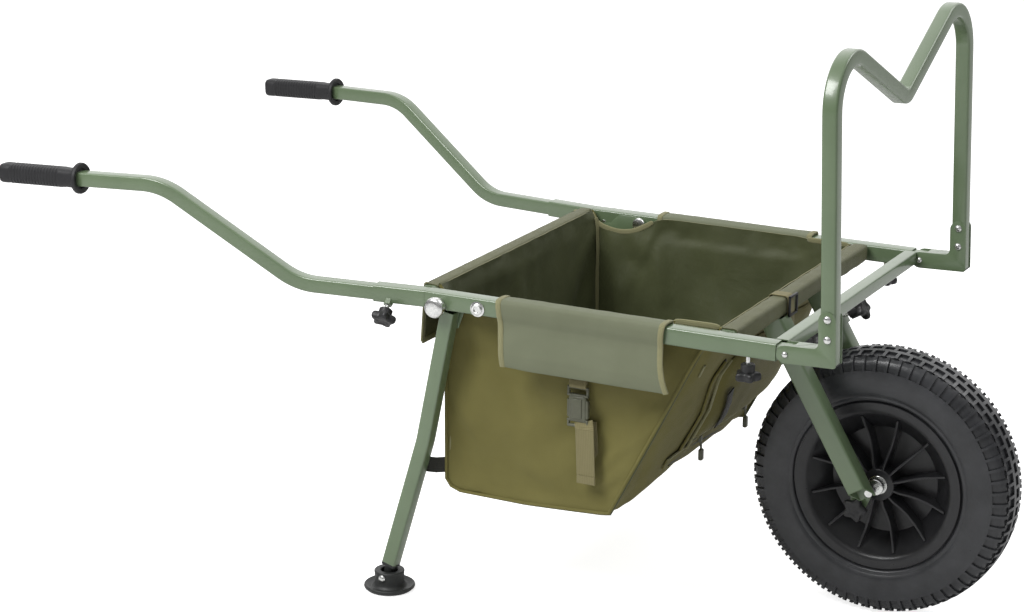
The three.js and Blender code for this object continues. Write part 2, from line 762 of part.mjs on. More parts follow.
function addLegs() {
  const inFace = railInnerY - platePlay;
  const outFace = inFace - plateThickness;
  const legTopZ = railBottom - legTopDrop;
  for (const [side, sign] of sides) {
    const y = sign * railY;
    const corners = [
      new THREE.Vector3(legTopX, y, legTopZ),
      new THREE.Vector3(legBendX, y, legBendZ),
      new THREE.Vector3(legEndX, y + sign * legSplay, legEndZ),
    ];
    const tube = sweep(tubeShape(legSize, tubeWall), bentStations(corners, legBendRadius, bendSteps));
    const plateBack = legPinX - plateEnd;
    const plate = slabY([
      [plateBack, legPinZ], [legPinX + plateEnd, legPinZ], [legPivotX - 3 * plateEnd, legPivotZ + plateEnd],
      [legPivotX, legPivotZ + plateEnd], [legPivotX + plateEnd, legPivotZ],
      [legPivotX + plateEnd / 2, legPivotZ - plateEnd], [legTopX + plateFoot, legPivotZ - 1.5 * plateEnd],
      [legTopX + plateEnd / 2, legPivotZ - plateDrop], [legTopX - plateFoot, legPivotZ - plateDrop],
    ], sign * outFace, sign * inFace);
    const padLow = legPivotZ - plateDrop + gap;
    const pad = slabY([
      [legTopX - plateEnd + gap, legTopZ], [legTopX + plateEnd / 2, legTopZ],
      [legTopX + plateEnd / 2 - gap, padLow], [legTopX - plateEnd, padLow],
    ], sign * (outFace + gap), sign * (railY - legSize / 2 + tubeWall / 2));
    const through = [y - 2 * overrun, y + 2 * overrun];
    const leg = carve(
      fuse(tube, plate, pad),
      pinY(pivotBoltRadius + gap, legPivotX, legPivotZ, ...through),
      pinY(pinRadius + gap, legPinX, legPinZ, ...through),
    );
    addMesh(`leg_${side}`, leg, 'frame');

    const headStart = railOuterY + gap;
    const boltInner = outFace - gap - pivotBoltHeadHeight;
    const boltLength = headStart + pivotBoltHeadHeight - boltInner;
    const bolt = headedBolt(pivotBoltRadius, pivotBoltHeadRadius, pivotBoltHeadHeight, boltLength);
    bolt.translate(0, boltInner, 0);
    if (sign < 0) {
      bolt.rotateZ(Math.PI);
    }
    addMesh(`leg_pivot_bolt_${side}`, bolt.translate(legPivotX, 0, legPivotZ), 'steel');

    const pinDome = pinHeadLength / 4;
    const pinEnd = headStart + pinHeadLength;
    const pin = turned([
      [0, pinTipY], [pinRadius - gap, pinTipY], [pinRadius, pinTipY + gap], [pinRadius, headStart],
      [pinHeadRadius - pinDome / 2, headStart], [pinHeadRadius - pinDome / 2, headStart + pinDome],
      [pinHeadRadius, headStart + 2 * pinDome], [pinHeadRadius, pinEnd - pinDome / 2],
      [pinHeadRadius - pinDome / 2, pinEnd], [0, pinEnd],
    ], boltSides);
    if (sign < 0) {
      pin.rotateZ(Math.PI);
    }
    addMesh(`leg_pin_${side}`, pin.translate(legPinX, 0, legPinZ), 'steel');

    const end = corners[2];
    const down = end.clone().sub(corners[1]).normalize();
    const capEnd = end.clone().addScaledVector(down, legCapHeight + gap);
    const lid = sweep(barShape(legSize), [end.clone().addScaledVector(down, gap), capEnd]);
    const coreTop = end.clone().addScaledVector(down, -legSize / 2);
    const core = sweep(barShape(legSize - 2 * (tubeWall + gap)), [coreTop, capEnd]);
    const foot = new THREE.Vector3(footX, sign * footY, footPivotZ);
    const stemTop = end.clone().addScaledVector(down, legCapHeight / 2);
    const stem = new THREE.CylinderGeometry(stemRadius, stemRadius, stemTop.distanceTo(foot), boltSides);
    const stemWay = stemTop.clone().sub(foot).normalize();
    stem.applyQuaternion(new THREE.Quaternion().setFromUnitVectors(new THREE.Vector3(0, 1, 0), stemWay));
    stem.translate(...foot.clone().add(stemTop).multiplyScalar(1 / 2).toArray());
    const eye = pinY(stemRadius, footX, footPivotZ, sign * footY - stemRadius, sign * footY + stemRadius);
    const cap = carve(fuse(lid, core, stem, eye), pinY(footBoltRadius + gap, footX, footPivotZ, ...through));
    addMesh(`leg_cap_${side}`, cap, 'plastic');

    const cupOuter = cupRadius + gap;
    const boltSpan = 2 * (cupOuter + footBoltHeadHeight);
    const footBolt = headedBolt(footBoltRadius, footBoltHeadRadius, footBoltHeadHeight, boltSpan);
    footBolt.translate(footX, sign * footY - boltSpan / 2, footPivotZ);
    addMesh(`foot_bolt_${side}`, footBolt, 'steel');

    const profile = [
      [0, 0], [footDiscRadius - footDiscEdge, 0], [footDiscRadius, footDiscEdge], [footDiscRadius, footLip],
      [footDiscRadius - footDiscEdge / 2, footLip], [cupRadius + footDiscEdge, footDiscEdge + gap],
      [cupRadius, footFloor], [cupRadius, cupHeight], [cupBore, cupHeight], [cupBore, footFloor],
      [0, footFloor],
    ];
    const disc = turned(profile, roundSides).rotateX(Math.PI / 2).translate(footX, sign * footY, 0);
    addMesh(`foot_${side}`, carve(disc, pinY(footBoltRadius + gap, footX, footPivotZ, ...through)), 'rubber');
  }
}

// Square cloth sleeve round a cross tube
function sleeve(x, size) {
  const outer = size / 2 + gap + sleeveCloth;
  const z = railTop - size / 2;
  return box(x - outer, x + outer, -sleeveEnd, sleeveEnd, z - outer, z + outer);
}

function sleeveBore(x, size) {
  const inner = size / 2 + gap;
  const z = railTop - size / 2;
  return box(x - inner, x + inner, -sleeveEnd - overrun, sleeveEnd + overrun, z - inner, z + inner);
}

function addBag() {
  const outline = [
    [bagRearX, bagTop], [bagRearX, bagRearFoot], [bagRearX + bagHeelRun / 3, bagRearFoot - bagHeelRise],
    [bagRearX + bagHeelRun, bagRearFoot - bagHeelDrop], [bagSagX, bagSagZ],
    [bagToeX - bagHeelRun / 2, bagToeZ - clothWall], [bagToeX, bagToeZ], [bagShinX, bagShinZ],
    [bagNeckX, bagNeckZ], [bagThroatX, bagThroatZ], [bagFrontX, bagTop],
  ];
  const inner = [
    [bagRearX + clothWall, bagTop + overrun], [bagRearX + clothWall, bagRearFoot + clothWall],
    [bagRearX + bagHeelRun / 3 + clothWall, bagRearFoot - bagHeelRise + clothWall],
    [bagRearX + bagHeelRun + clothWall, bagRearFoot - bagHeelDrop + clothWall], [bagSagX, bagSagZ + clothWall],
    [bagToeX - bagHeelRun / 2, bagToeZ], [bagToeX - clothWall, bagToeZ + clothWall],
    [bagShinX - clothWall, bagShinZ + clothWall], [bagNeckX - clothWall / 2, bagNeckZ + clothWall],
    [bagThroatX - clothWall / 2, bagThroatZ + clothWall], [bagFrontX - clothWall, bagTop - clothWall / 2],
    [bagFrontX - clothWall, bagTop + overrun],
  ];
  const inside = bagHalfWidth - clothWall;
  const shell = carve(slabY(outline, -bagHalfWidth, bagHalfWidth), slabY(inner, -inside, inside));
  const rearLink = box(rearTubeX, bagRearX + clothWall / 2, -inside, inside, bagTop - clothWall, bagTop);
  const frontLink = box(bagFrontX - clothWall, frontTubeX, -inside, inside, bagTop - clothWall, bagTop);
  const socketHalf = forkArmSize / 2 + gap + forkSocketWall + gap;
  const under = railTop - frontTubeSize - gap;
  const notches = sides.map(([, sign]) => box(
    frontTubeX - overrun, frontTubeX + overrun, sign * forkArmY - socketHalf, sign * forkArmY + socketHalf,
    under - overrun, under + gap,
  ));
  const rearFace = rearTubeX - crossSize / 2 - gap - sleeveCloth;
  const rearFlap = box(rearFace - flapCloth, rearFace + gap, -rearFlapEnd, rearFlapEnd, rearFlapLow, railTop);
  const tethers = sides.map(([, sign]) => fuse(
    box(tetherRear, bagRearX, sign * tetherY, sign * (tetherY - flapCloth), tetherLow, tetherTop),
    slabZ(tetherLow, tetherTop, [
      [bagRearX - flapCloth, tetherY], [tetherFront, bagHalfWidth + flapCloth], [tetherFront, inside],
      [tetherFront - flapCloth, inside], [bagRearX - flapCloth, tetherY - flapCloth],
    ], sign),
  ));
  const hung = [[rearTubeX, crossSize], [frontTubeX, frontTubeSize]];
  const sleeves = hung.map(([x, size]) => sleeve(x, size));
  const bores = hung.map(([x, size]) => sleeveBore(x, size));
  const cloth = fuse(shell, rearLink, frontLink, rearFlap, ...sleeves, ...tethers);
  addMesh('bag', carve(cloth, ...bores, ...notches), 'bagCloth');
}

// Flap: sewn to the bag's side wall, over the rail and down its outer face
function addFlaps() {
  for (const [side, sign] of sides) {
    const innerFace = railInnerY - gap;
    const outerFace = railOuterY + flapClearance;
    const top = railTop + gap;
    const wall = bagHalfWidth + gap;
    const points = [
      [innerFace, top + flapCloth - gap], [innerFace - flapCloth, top], [innerFace - flapCloth, flapShoulder],
      [wall, flapShoulder - 4 * flapCloth], [wall, flapInnerLow], [wall + flapCloth, flapInnerLow],
      [wall + flapCloth, flapShoulder - 5 * flapCloth], [innerFace, flapShoulder - flapCloth],
      [innerFace, top], [outerFace, top], [outerFace, flapLow], [outerFace + flapCloth, flapLow],
      [outerFace + flapCloth, top], [outerFace + flapCloth / 2, top + flapCloth],
    ];
    const shape = new THREE.Shape(points.map(([y, z]) => new THREE.Vector2(sign * y, z)));
    const depth = flapFront - flapRear;
    const flap = new THREE.ExtrudeGeometry(shape, { depth, bevelEnabled: false });
    flap.rotateX(Math.PI / 2).rotateZ(Math.PI / 2).translate(flapRear, 0, 0);
    addMesh(`side_flap_${side}`, flap, 'flapCloth');

    const strapY = sign * (bagHalfWidth + gap);
    const strap = box(strapRear, strapFront, strapY, strapY + sign * flapCloth, strapLow, strapTop);
    addMesh(`side_strap_${side}`, strap, 'webbing');
    const buckleY = strapY + sign * (flapCloth + gap);
    const buckle = box(buckleRear, buckleFront, buckleY, buckleY + sign * buckleDepth, buckleLow, buckleTop);
    addMesh(`side_buckle_${side}`, buckle, 'plastic');
  }
}

addRails();
addCrossTubes();
addHandles();
addFork();
addWheel();
addRack();
addLegs();
addBag();
addFlaps();

const bounds = new THREE.Box3().setFromObject(root);
root.position.x = -(bounds.min.x + bounds.max.x) / 2;

export default root;
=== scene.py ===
import math
import bpy
from mathutils import Matrix, Quaternion, Vector, noise
from mathutils.kdtree import KDTree


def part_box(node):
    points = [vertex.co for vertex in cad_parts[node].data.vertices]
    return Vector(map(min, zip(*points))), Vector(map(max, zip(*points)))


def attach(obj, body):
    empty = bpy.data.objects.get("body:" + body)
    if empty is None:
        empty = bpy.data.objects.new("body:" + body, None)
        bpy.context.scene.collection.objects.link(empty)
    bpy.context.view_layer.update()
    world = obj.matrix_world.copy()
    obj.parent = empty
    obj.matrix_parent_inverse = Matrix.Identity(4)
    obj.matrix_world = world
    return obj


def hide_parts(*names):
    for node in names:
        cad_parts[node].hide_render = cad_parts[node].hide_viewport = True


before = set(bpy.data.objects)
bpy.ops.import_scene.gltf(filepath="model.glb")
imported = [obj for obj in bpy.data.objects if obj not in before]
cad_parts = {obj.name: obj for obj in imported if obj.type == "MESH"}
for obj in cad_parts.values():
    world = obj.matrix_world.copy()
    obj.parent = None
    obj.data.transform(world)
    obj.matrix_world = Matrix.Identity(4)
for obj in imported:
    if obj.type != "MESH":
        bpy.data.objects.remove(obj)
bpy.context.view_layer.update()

tyreLow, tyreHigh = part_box("tyre")
wheelX = (tyreLow.x + tyreHigh.x) / 2
bothSides = (("left", 1), ("right", -1))
clearance = 0.0003
print("frame loaded, wheel at", round(wheelX, 4))


# Places are given from the point on the ground under the axle: x forward, y to the left, z up
def at(x, y, z):
    return Vector((wheelX + x, y, z))


# Camera, floor and light

cameraView = {
    "place": (1.15013, -3.38692, 1.49377), "azimuth": 27.5307, "elevation": 16.3330, "roll": 0.3213,
    "focalPixels": 2578.88, "imageWidth": 1024, "sensorWidth": 36, "clipEnd": 50,
}


def addCamera(view):
    az, el, roll = (math.radians(view[k]) for k in ("azimuth", "elevation", "roll"))
    back = Vector((math.sin(az) * math.cos(el), -math.cos(az) * math.cos(el), math.sin(el)))
    level = Vector((math.cos(az), math.sin(az), 0))
    upright = level.cross(-back)
    right = math.cos(roll) * level + math.sin(roll) * upright
    up = -math.sin(roll) * level + math.cos(roll) * upright
    bpy.ops.object.camera_add()
    camera = bpy.context.object
    turn = Matrix((right, up, back)).transposed().to_4x4()
    camera.matrix_world = Matrix.Translation(at(*view["place"])) @ turn
    camera.data.sensor_width = view["sensorWidth"]
    camera.data.lens = view["focalPixels"] / view["imageWidth"] * view["sensorWidth"]
    camera.data.clip_end = view["clipEnd"]
    bpy.context.scene.camera = camera


roomLight = {
    "skyStrength": 0.80,
    "sky": [(0.0, 0.10), (0.49, 0.13), (0.56, 0.24), (0.80, 0.62), (1.0, 1.0)],
    "lamps": {
        "keyLamp": {"place": (-1.55, -2.2, 2.9), "size": 1.5, "watts": 92},
        "farLamp": {"place": (1.6, 2.0, 3.0), "size": 2.0, "watts": 34},
    },
    "aim": (-0.45, 0, 0.35),
    "floorSize": 60, "floorZ": -0.0004,
    "backdrop": {"way": (-0.42, 0.88, 0.22), "from": 0.45, "to": 0.88, "strength": 1.3},
    "floorColour": (0.80, 0.80, 0.80, 1), "floorRoughness": 0.9, "floorLift": 0.80, "white": (1, 1, 1, 1),
}


def addRoom(room):
    for name, lamp in room["lamps"].items():
        bpy.ops.object.light_add(type="AREA", location=at(*lamp["place"]))
        light = bpy.context.object
        light.name = name
        light.data.size = lamp["size"]
        light.data.energy = lamp["watts"]
        aim = at(*room["aim"]) - light.location
        light.rotation_euler = aim.to_track_quat("-Z", "Y").to_euler()

    world = bpy.data.worlds.new("paleRoom")
    bpy.context.scene.world = world
    world.use_nodes = True
    graph = Graph(world.node_tree)
    way = graph.add("TexCoord").outputs["Generated"]
    height = graph.range(graph.add("SeparateXYZ", {0: way}).outputs["Z"], 0, 1, -1)
    sky = graph.nodes["Background"]
    graph.put(sky.inputs["Strength"], room["skyStrength"])
    greys = [(place, (grey, grey, grey)) for place, grey in room["sky"]]
    graph.put(sky.inputs["Color"], graph.colours(height, *greys))
    backdrop = room["backdrop"]
    toward = graph.add("VectorMath", {0: way, 1: backdrop["way"]}, operation="DOT_PRODUCT").outputs["Value"]
    glow = graph.range(toward, 0, backdrop["strength"], backdrop["from"], backdrop["to"])
    glow = graph.math("MULTIPLY", glow, graph.rays("Is Glossy Ray"))
    mirrored = graph.add("Background", {"Strength": glow})
    lit = graph.add("AddShader", {0: sky.outputs[0], 1: mirrored.outputs[0]})
    white = graph.add("Background", {"Color": room["white"]})
    seen = graph.rays("Is Camera Ray", "Is Transmission Ray")
    shown = graph.add("MixShader", {0: seen, 1: lit.outputs[0], 2: white.outputs[0]})
    graph.put(graph.nodes["World Output"].inputs["Surface"], shown.outputs[0])

    clear()
    bpy.ops.mesh.primitive_plane_add(size=room["floorSize"], location=at(0, 0, room["floorZ"]))
    floor = fresh("floor")
    paint = newMaterial("paleFloor", Base_Color=room["floorColour"], Roughness=room["floorRoughness"],
                        Specular_IOR_Level=0, Emission_Color=room["white"])
    look = Pattern(paint)
    look.set("Emission Strength", look.range(look.rays("Is Camera Ray", "Is Transmission Ray"),
                                             0, room["floorLift"]))
    floor.data.materials.append(paint)
    bpy.context.scene.view_settings.view_transform = "Standard"


# Modelling steps that every piece uses

def clear():
    bpy.ops.object.select_all(action="DESELECT")


def focus(piece):
    clear()
    piece.select_set(True)
    bpy.context.view_layer.objects.active = piece


def fresh(name):
    piece = bpy.context.object
    piece.name = name
    piece.data.name = name
    return piece


def settle(piece):
    focus(piece)
    bpy.ops.object.transform_apply(location=True, rotation=True, scale=True)
    return piece


def startEdit(piece, mode="FACE"):
    focus(piece)
    bpy.ops.object.mode_set(mode="EDIT")
    bpy.ops.mesh.select_mode(type=mode)


def endEdit():
    bpy.ops.object.mode_set(mode="OBJECT")


def pickAll():
    bpy.ops.mesh.select_all(action="SELECT")


def extrude(step):
    bpy.ops.mesh.extrude_region_move(TRANSFORM_OT_translate={"value": step})


# Selects faces by a test on their middle and normal, and leaves the piece in edit mode
def pickFaces(piece, test):
    startEdit(piece, "FACE")
    bpy.ops.mesh.select_all(action="DESELECT")
    endEdit()
    for face in piece.data.polygons:
        face.select = test(face.center, face.normal)
    startEdit(piece, "FACE")


def facesOut(piece):
    startEdit(piece)
    pickAll()
    bpy.ops.mesh.remove_doubles(threshold=0.00001)
    bpy.ops.mesh.normals_make_consistent(inside=False)
    endEdit()
    return piece


def applyModifiers(piece):
    focus(piece)
    for modifier in list(piece.modifiers):
        bpy.ops.object.modifier_apply(modifier=modifier.name)
    return piece


def roundEdges(piece, width, segments=3, angle=40):
    modifier = piece.modifiers.new("roundEdges", "BEVEL")
    modifier.width = width
    modifier.segments = segments
    modifier.limit_method = "ANGLE"
    modifier.angle_limit = math.radians(angle)
    return applyModifiers(piece)


def giveWall(piece, thickness, offset=-1):
    modifier = piece.modifiers.new("wall", "SOLIDIFY")
    modifier.thickness = thickness
    modifier.offset = offset
    modifier.use_even_offset = True
    return applyModifiers(piece)


def copyPiece(piece, name, move=(0, 0, 0), turn=None):
    twin = piece.copy()
    twin.data = piece.data.copy()
    twin.name = name
    twin.data.name = name
    bpy.context.scene.collection.objects.link(twin)
    twin.matrix_world = Matrix.Translation(move) @ (turn or Matrix.Identity(4))
    return settle(twin)


def joinPieces(pieces, name):
    clear()
    for piece in pieces:
        piece.select_set(True)
    bpy.context.view_layer.objects.active = pieces[0]
    bpy.ops.object.join()
    return fresh(name)


def handOver(piece, material, body, replaced=(), smoothAngle=35):
    focus(piece)
    bpy.ops.object.shade_smooth_by_angle(angle=math.radians(smoothAngle))
    if material:
        piece.data.materials.clear()
        piece.data.materials.append(material)
    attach(piece, body)
    if replaced:
        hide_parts(*([replaced] if isinstance(replaced, str) else replaced))
    return piece


# Cuts away what lies beyond a plane, and leaves the end open
def cutOff(piece, place, way):
    startEdit(piece)
    pickAll()
    bpy.ops.mesh.bisect(plane_co=place, plane_no=way, clear_outer=True)
    endEdit()


# Closes every open end of a piece
def fillEnds(piece):
    startEdit(piece, "EDGE")
    pickAll()
    bpy.ops.mesh.fill_holes(sides=0)
    endEdit()


# Outline along a path: a square with rounded corners is drawn on, and spun round each bend
def bentTube(name, corners, radii, size, corner=0.003, wall=0.0015, steps=12, across=(0, 1, 0)):
    corners = [Vector(c) for c in corners]
    heading = (corners[1] - corners[0]).normalized()
    side = Vector(across)
    side = (side - heading * side.dot(heading)).normalized()
    turn = Matrix((side, heading.cross(side), heading)).transposed()
    clear()
    bpy.ops.mesh.primitive_plane_add(size=size, location=corners[0], rotation=turn.to_euler())
    tube = settle(fresh(name))
    startEdit(tube, "VERT")
    pickAll()
    bpy.ops.mesh.bevel(offset=corner, segments=4, affect="VERTICES")
    pickAll()
    bpy.ops.mesh.delete(type="ONLY_FACE")
    pickAll()
    place = corners[0]
    for bend, radius in zip(corners[1:-1], radii):
        onward = (corners[corners.index(bend) + 1] - bend).normalized()
        angle = heading.angle(onward)
        axis = heading.cross(onward).normalized()
        start = bend - heading * radius * math.tan(angle / 2)
        extrude(start - place)
        middle = start + axis.cross(heading) * radius
        bpy.ops.mesh.spin(steps=steps, angle=-angle, center=middle, axis=axis)
        place = middle + Quaternion(axis, angle) @ (start - middle)
        heading = onward
    extrude(corners[-1] - place)
    endEdit()
    facesOut(tube)
    if wall:
        giveWall(tube, wall)
    return tube


# Points of [radius, height], turned about a line through a place
def turnedPiece(name, profile, place=(0, 0, 0), way=(0, 0, 1), sides=32):
    clear()
    bpy.ops.mesh.primitive_plane_add(size=0.001)
    piece = fresh(name)
    startEdit(piece, "VERT")
    pickAll()
    bpy.ops.mesh.merge(type="CENTER")
    bpy.ops.transform.translate(value=(profile[0][0], 0, profile[0][1]))
    for (fromRadius, fromHeight), (radius, height) in zip(profile, profile[1:]):
        step = (radius - fromRadius, 0, height - fromHeight)
        extrude(step)
    pickAll()
    bpy.ops.mesh.spin(steps=sides, angle=math.tau, center=(0, 0, 0), axis=(0, 0, 1))
    endEdit()
    facesOut(piece)
    turn = Vector((0, 0, 1)).rotation_difference(Vector(way)).to_matrix().to_4x4()
    piece.matrix_world = Matrix.Translation(place) @ turn
    return settle(piece)


# Flat outline drawn in a plane through a place, and drawn out along a way
def slabPiece(name, outline, depth, place=(0, 0, 0), turn=None):
    clear()
    bpy.ops.mesh.primitive_circle_add(vertices=len(outline), radius=0.01, fill_type="NGON")
    slab = fresh(name)
    for vertex, (x, y) in zip(slab.data.vertices, outline):
        vertex.co = (x, y, 0)
    startEdit(slab)
    pickAll()
    extrude((0, 0, depth))
    endEdit()
    facesOut(slab)
    slab.matrix_world = Matrix.Translation(place) @ (turn or Matrix.Identity(4))
    return settle(slab)


def boxPiece(name, low, high, rounding=0.0008, segments=2):
    clear()
    middle = (Vector(low) + Vector(high)) / 2
    bpy.ops.mesh.primitive_cube_add(size=1, location=middle, scale=Vector(high) - Vector(low))
    piece = settle(fresh(name))
    return roundEdges(piece, rounding, segments) if rounding else piece


def cutWith(piece, cutter):
    modifier = piece.modifiers.new("cut", "BOOLEAN")
    modifier.operation = "DIFFERENCE"
    modifier.solver = "EXACT"
    modifier.object = cutter
    applyModifiers(piece)
    bpy.data.objects.remove(cutter)
    return piece


# Materials

def newMaterial(name, **values):
    material = bpy.data.materials.new(name)
    material.use_nodes = True
    body = material.node_tree.nodes["Principled BSDF"]
    for socket, value in values.items():
        body.inputs[socket.replace("_", " ")].default_value = value
    return material


class Graph:
    def __init__(self, tree):
        self.nodes, self.links = tree.nodes, tree.links

    def put(self, socket, value):
        if isinstance(value, bpy.types.NodeSocket):
            self.links.new(value, socket)
        else:
            socket.default_value = value

    def add(self, kind, inputs=None, **settings):
        node = self.nodes.new(f"ShaderNode{kind}")
        for name, value in settings.items():
            setattr(node, name, value)
        for name, value in (inputs or {}).items():
            self.put(node.inputs[name], value)
        return node

    def math(self, operation, first, second):
        return self.add("Math", {0: first, 1: second}, operation=operation).outputs[0]

    def range(self, value, low, high, fromLow=0, fromHigh=1):
        return self.add("MapRange", {"Value": value, "From Min": fromLow, "From Max": fromHigh,
                                     "To Min": low, "To Max": high}).outputs[0]

    def colours(self, value, *stops):
        node = self.add("ValToRGB", {"Fac": value})
        elements = node.color_ramp.elements
        while len(elements) < len(stops):
            elements.new(0.5)
        for element, (place, colour) in zip(elements, stops):
            element.position = place
            element.color = (*colour, 1)
        return node.outputs["Color"]

    def rays(self, first, *others):
        path = self.add("LightPath")
        share = path.outputs[first]
        for other in others:
            share = self.math("MAXIMUM", share, path.outputs[other])
        return share


class Pattern(Graph):
    def __init__(self, material, source="Object"):
        super().__init__(material.node_tree)
        self.body = self.nodes["Principled BSDF"]
        self.space = self.add("TexCoord").outputs[source]

    def noise(self, scale, detail=3, roughness=0.5, distortion=0):
        return self.add("TexNoise", {"Vector": self.space, "Scale": scale, "Detail": detail,
                                     "Roughness": roughness, "Distortion": distortion}).outputs["Fac"]

    def wave(self, direction, pitch, distortion=0):
        return self.add("TexWave", {"Vector": self.space, "Scale": math.pi / 10 / pitch, "Detail": 0,
                                    "Distortion": distortion}, bands_direction=direction).outputs["Fac"]

    def set(self, socket, value):
        self.put(self.body.inputs[socket], value)

    # Each bump lies on the ones before it
    def bump(self, height, distance, strength=1):
        normal = self.body.inputs["Normal"]
        below = {"Normal": normal.links[0].from_socket} if normal.is_linked else {}
        node = self.add("Bump", {"Distance": distance, "Strength": strength, "Height": height, **below})
        self.put(normal, node.outputs[0])


# A hard surface: tint and stops colour it, shine and grain hold [scale, detail, ...] of a noise and its reach
def hardLook(name, tint, stops, shine, grain, **values):
    material = newMaterial(name, **values)
    look = Pattern(material)
    look.set("Base Color", look.colours(look.noise(*tint), *stops))
    look.set("Roughness", look.range(look.noise(*shine[:2]), *shine[2:]))
    look.bump(look.noise(*grain[:2]), *grain[2:])
    return material


def mouldedPlastic(name, colour, roughness):
    dark = tuple(0.7 * c for c in colour)
    return hardLook(name, (45, 4), [(0.3, dark), (0.75, colour)], (240, 3, roughness - 0.07, roughness + 0.1),
                    (1500, 2, 0.00012, 0.6), Specular_IOR_Level=0.45)


def wovenCloth(name, dark, light, roughness, pitch=0.0011, sheen=0.05, crease=0.4):
    material = newMaterial(name, Sheen_Weight=sheen, Sheen_Roughness=0.5, Specular_IOR_Level=0.3)
    look = Pattern(material, "UV")
    across = look.wave("X", pitch)
    along = look.wave("Y", pitch)
    weave = look.math("MAXIMUM", across, along)
    tint = look.math("ADD", look.math("MULTIPLY", look.noise(7, 4, 0.6), 0.75),
                     look.math("MULTIPLY", weave, 0.25))
    look.set("Base Color", look.colours(tint, (0.28, dark), (0.72, light)))
    look.set("Roughness", look.range(look.noise(30, 3), roughness - 0.06, roughness + 0.08))
    look.bump(weave, 0.00025, 0.6)
    look.bump(look.noise(22, distortion=0.6), 0.0022, crease)
    return material


def ribbedWebbing(name, dark, light, pitch=0.0016):
    material = newMaterial(name, Sheen_Weight=0.2, Specular_IOR_Level=0.3)
    look = Pattern(material, "UV")
    ribs = look.wave("Y", pitch)
    cross = look.wave("X", pitch * 1.7, 0.5)
    both = look.math("ADD", look.math("MULTIPLY", ribs, 0.7), look.math("MULTIPLY", cross, 0.3))
    look.set("Base Color", look.colours(both, (0.2, dark), (0.8, light)))
    look.set("Roughness", look.range(look.noise(120, 3), 0.7, 0.9))
    look.bump(both, 0.0004, 0.8)
    return material


enamel = hardLook("frameEnamel", (14, 4, 0.55), [(0.3, (0.112, 0.162, 0.084)), (0.7, (0.130, 0.184, 0.100))],
                  (60, 3, 0.26, 0.38), (420, 2, 0.00012, 0.5),
                  Specular_IOR_Level=0.65, Coat_Weight=0.5, Coat_Roughness=0.12)
plate = hardLook("brightPlate", (300, 3), [(0.35, (0.66, 0.67, 0.66)), (0.65, (0.83, 0.83, 0.81))],
                 (500, 2, 0.16, 0.34), (900, 2, 0.00008, 0.5), Metallic=1.0)
knobPlastic = mouldedPlastic("knobPlastic", (0.020, 0.020, 0.021), 0.42)
rimPlastic = mouldedPlastic("rimPlastic", (0.024, 0.024, 0.026), 0.30)
bucklePlastic = mouldedPlastic("bucklePlastic", (0.118, 0.122, 0.080), 0.32)
gripRubber = mouldedPlastic("gripRubber", (0.019, 0.019, 0.021), 0.55)
footRubber = mouldedPlastic("footRubber", (0.024, 0.026, 0.025), 0.5)
tyreBlack = hardLook("tyreRubber", (26, 5, 0.6),
                     [(0.3, (0.022, 0.023, 0.025)), (0.72, (0.040, 0.041, 0.045))],
                     (90, 4, 0.24, 0.38), (700, 3, 0.0002, 0.5), Specular_IOR_Level=0.5)
bagCanvas = wovenCloth("bagCanvas", (0.122, 0.109, 0.028), (0.172, 0.155, 0.045), 0.68)
lining = wovenCloth("lining", (0.058, 0.066, 0.028), (0.092, 0.102, 0.045), 0.46, crease=0.6)
sleeveCanvas = wovenCloth("sleeveCanvas", (0.085, 0.088, 0.040), (0.134, 0.138, 0.070), 0.55, crease=0.5)
flapCanvas = wovenCloth("flapCanvas", (0.140, 0.154, 0.094), (0.178, 0.194, 0.124), 0.62, crease=0.3)
bindingTape = ribbedWebbing("bindingTape", (0.200, 0.192, 0.096), (0.290, 0.280, 0.150))
oliveWebbing = ribbedWebbing("oliveWebbing", (0.170, 0.150, 0.065), (0.250, 0.222, 0.110))
blackWebbing = ribbedWebbing("blackWebbing", (0.016, 0.016, 0.013), (0.035, 0.035, 0.028))
print("materials ready")

addCamera(cameraView)
addRoom(roomLight)
print("camera, floor and light ready")


# Rails and cross bars

rails = {"size": 0.025, "y": 0.2745, "z": 0.4595, "rear": -0.608, "front": -0.066, "corner": 0.0028}
frontBar = {"size": 0.020, "x": -0.067, "z": 0.462, "reach": 0.2612, "corner": 0.0025}


def addRails():
    for side, sign in bothSides:
        y = sign * rails["y"]
        ends = [at(rails[end], y, rails["z"]) for end in ("rear", "front")]
        rail = bentTube(f"railTube_{side}", ends, [], rails["size"], rails["corner"])
        handOver(rail, enamel, "frame", f"rail_{side}")
    ends = [at(frontBar["x"], sign * frontBar["reach"], frontBar["z"]) for sign in (-1, 1)]
    bar = bentTube("frontBar", ends, [], frontBar["size"], frontBar["corner"], across=(1, 0, 0))
    handOver(bar, enamel, "frame", "front_bar")
    for node in ("rear_tube", "front_tube"):
        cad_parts[node].data.materials.clear()
        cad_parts[node].data.materials.append(enamel)


# Star knobs on their screws

starKnob = {
    "radius": 0.019, "lobes": 5, "lobeDepth": 0.0058, "thickness": 0.012, "screwRadius": 0.003,
    "rings": [(0, 0.80), (0.0008, 0.90), (0.0024, 0.97), (0.0045, 1), (0.0080, 1), (0.0100, 0.96),
              (0.0113, 0.88), (0.0120, 0.76), (0.0120, 0.50), (0.0113, 0.42)],
    "neckRadius": 0.0100, "shortNeck": 0.004, "screwShows": 0.0140,
}


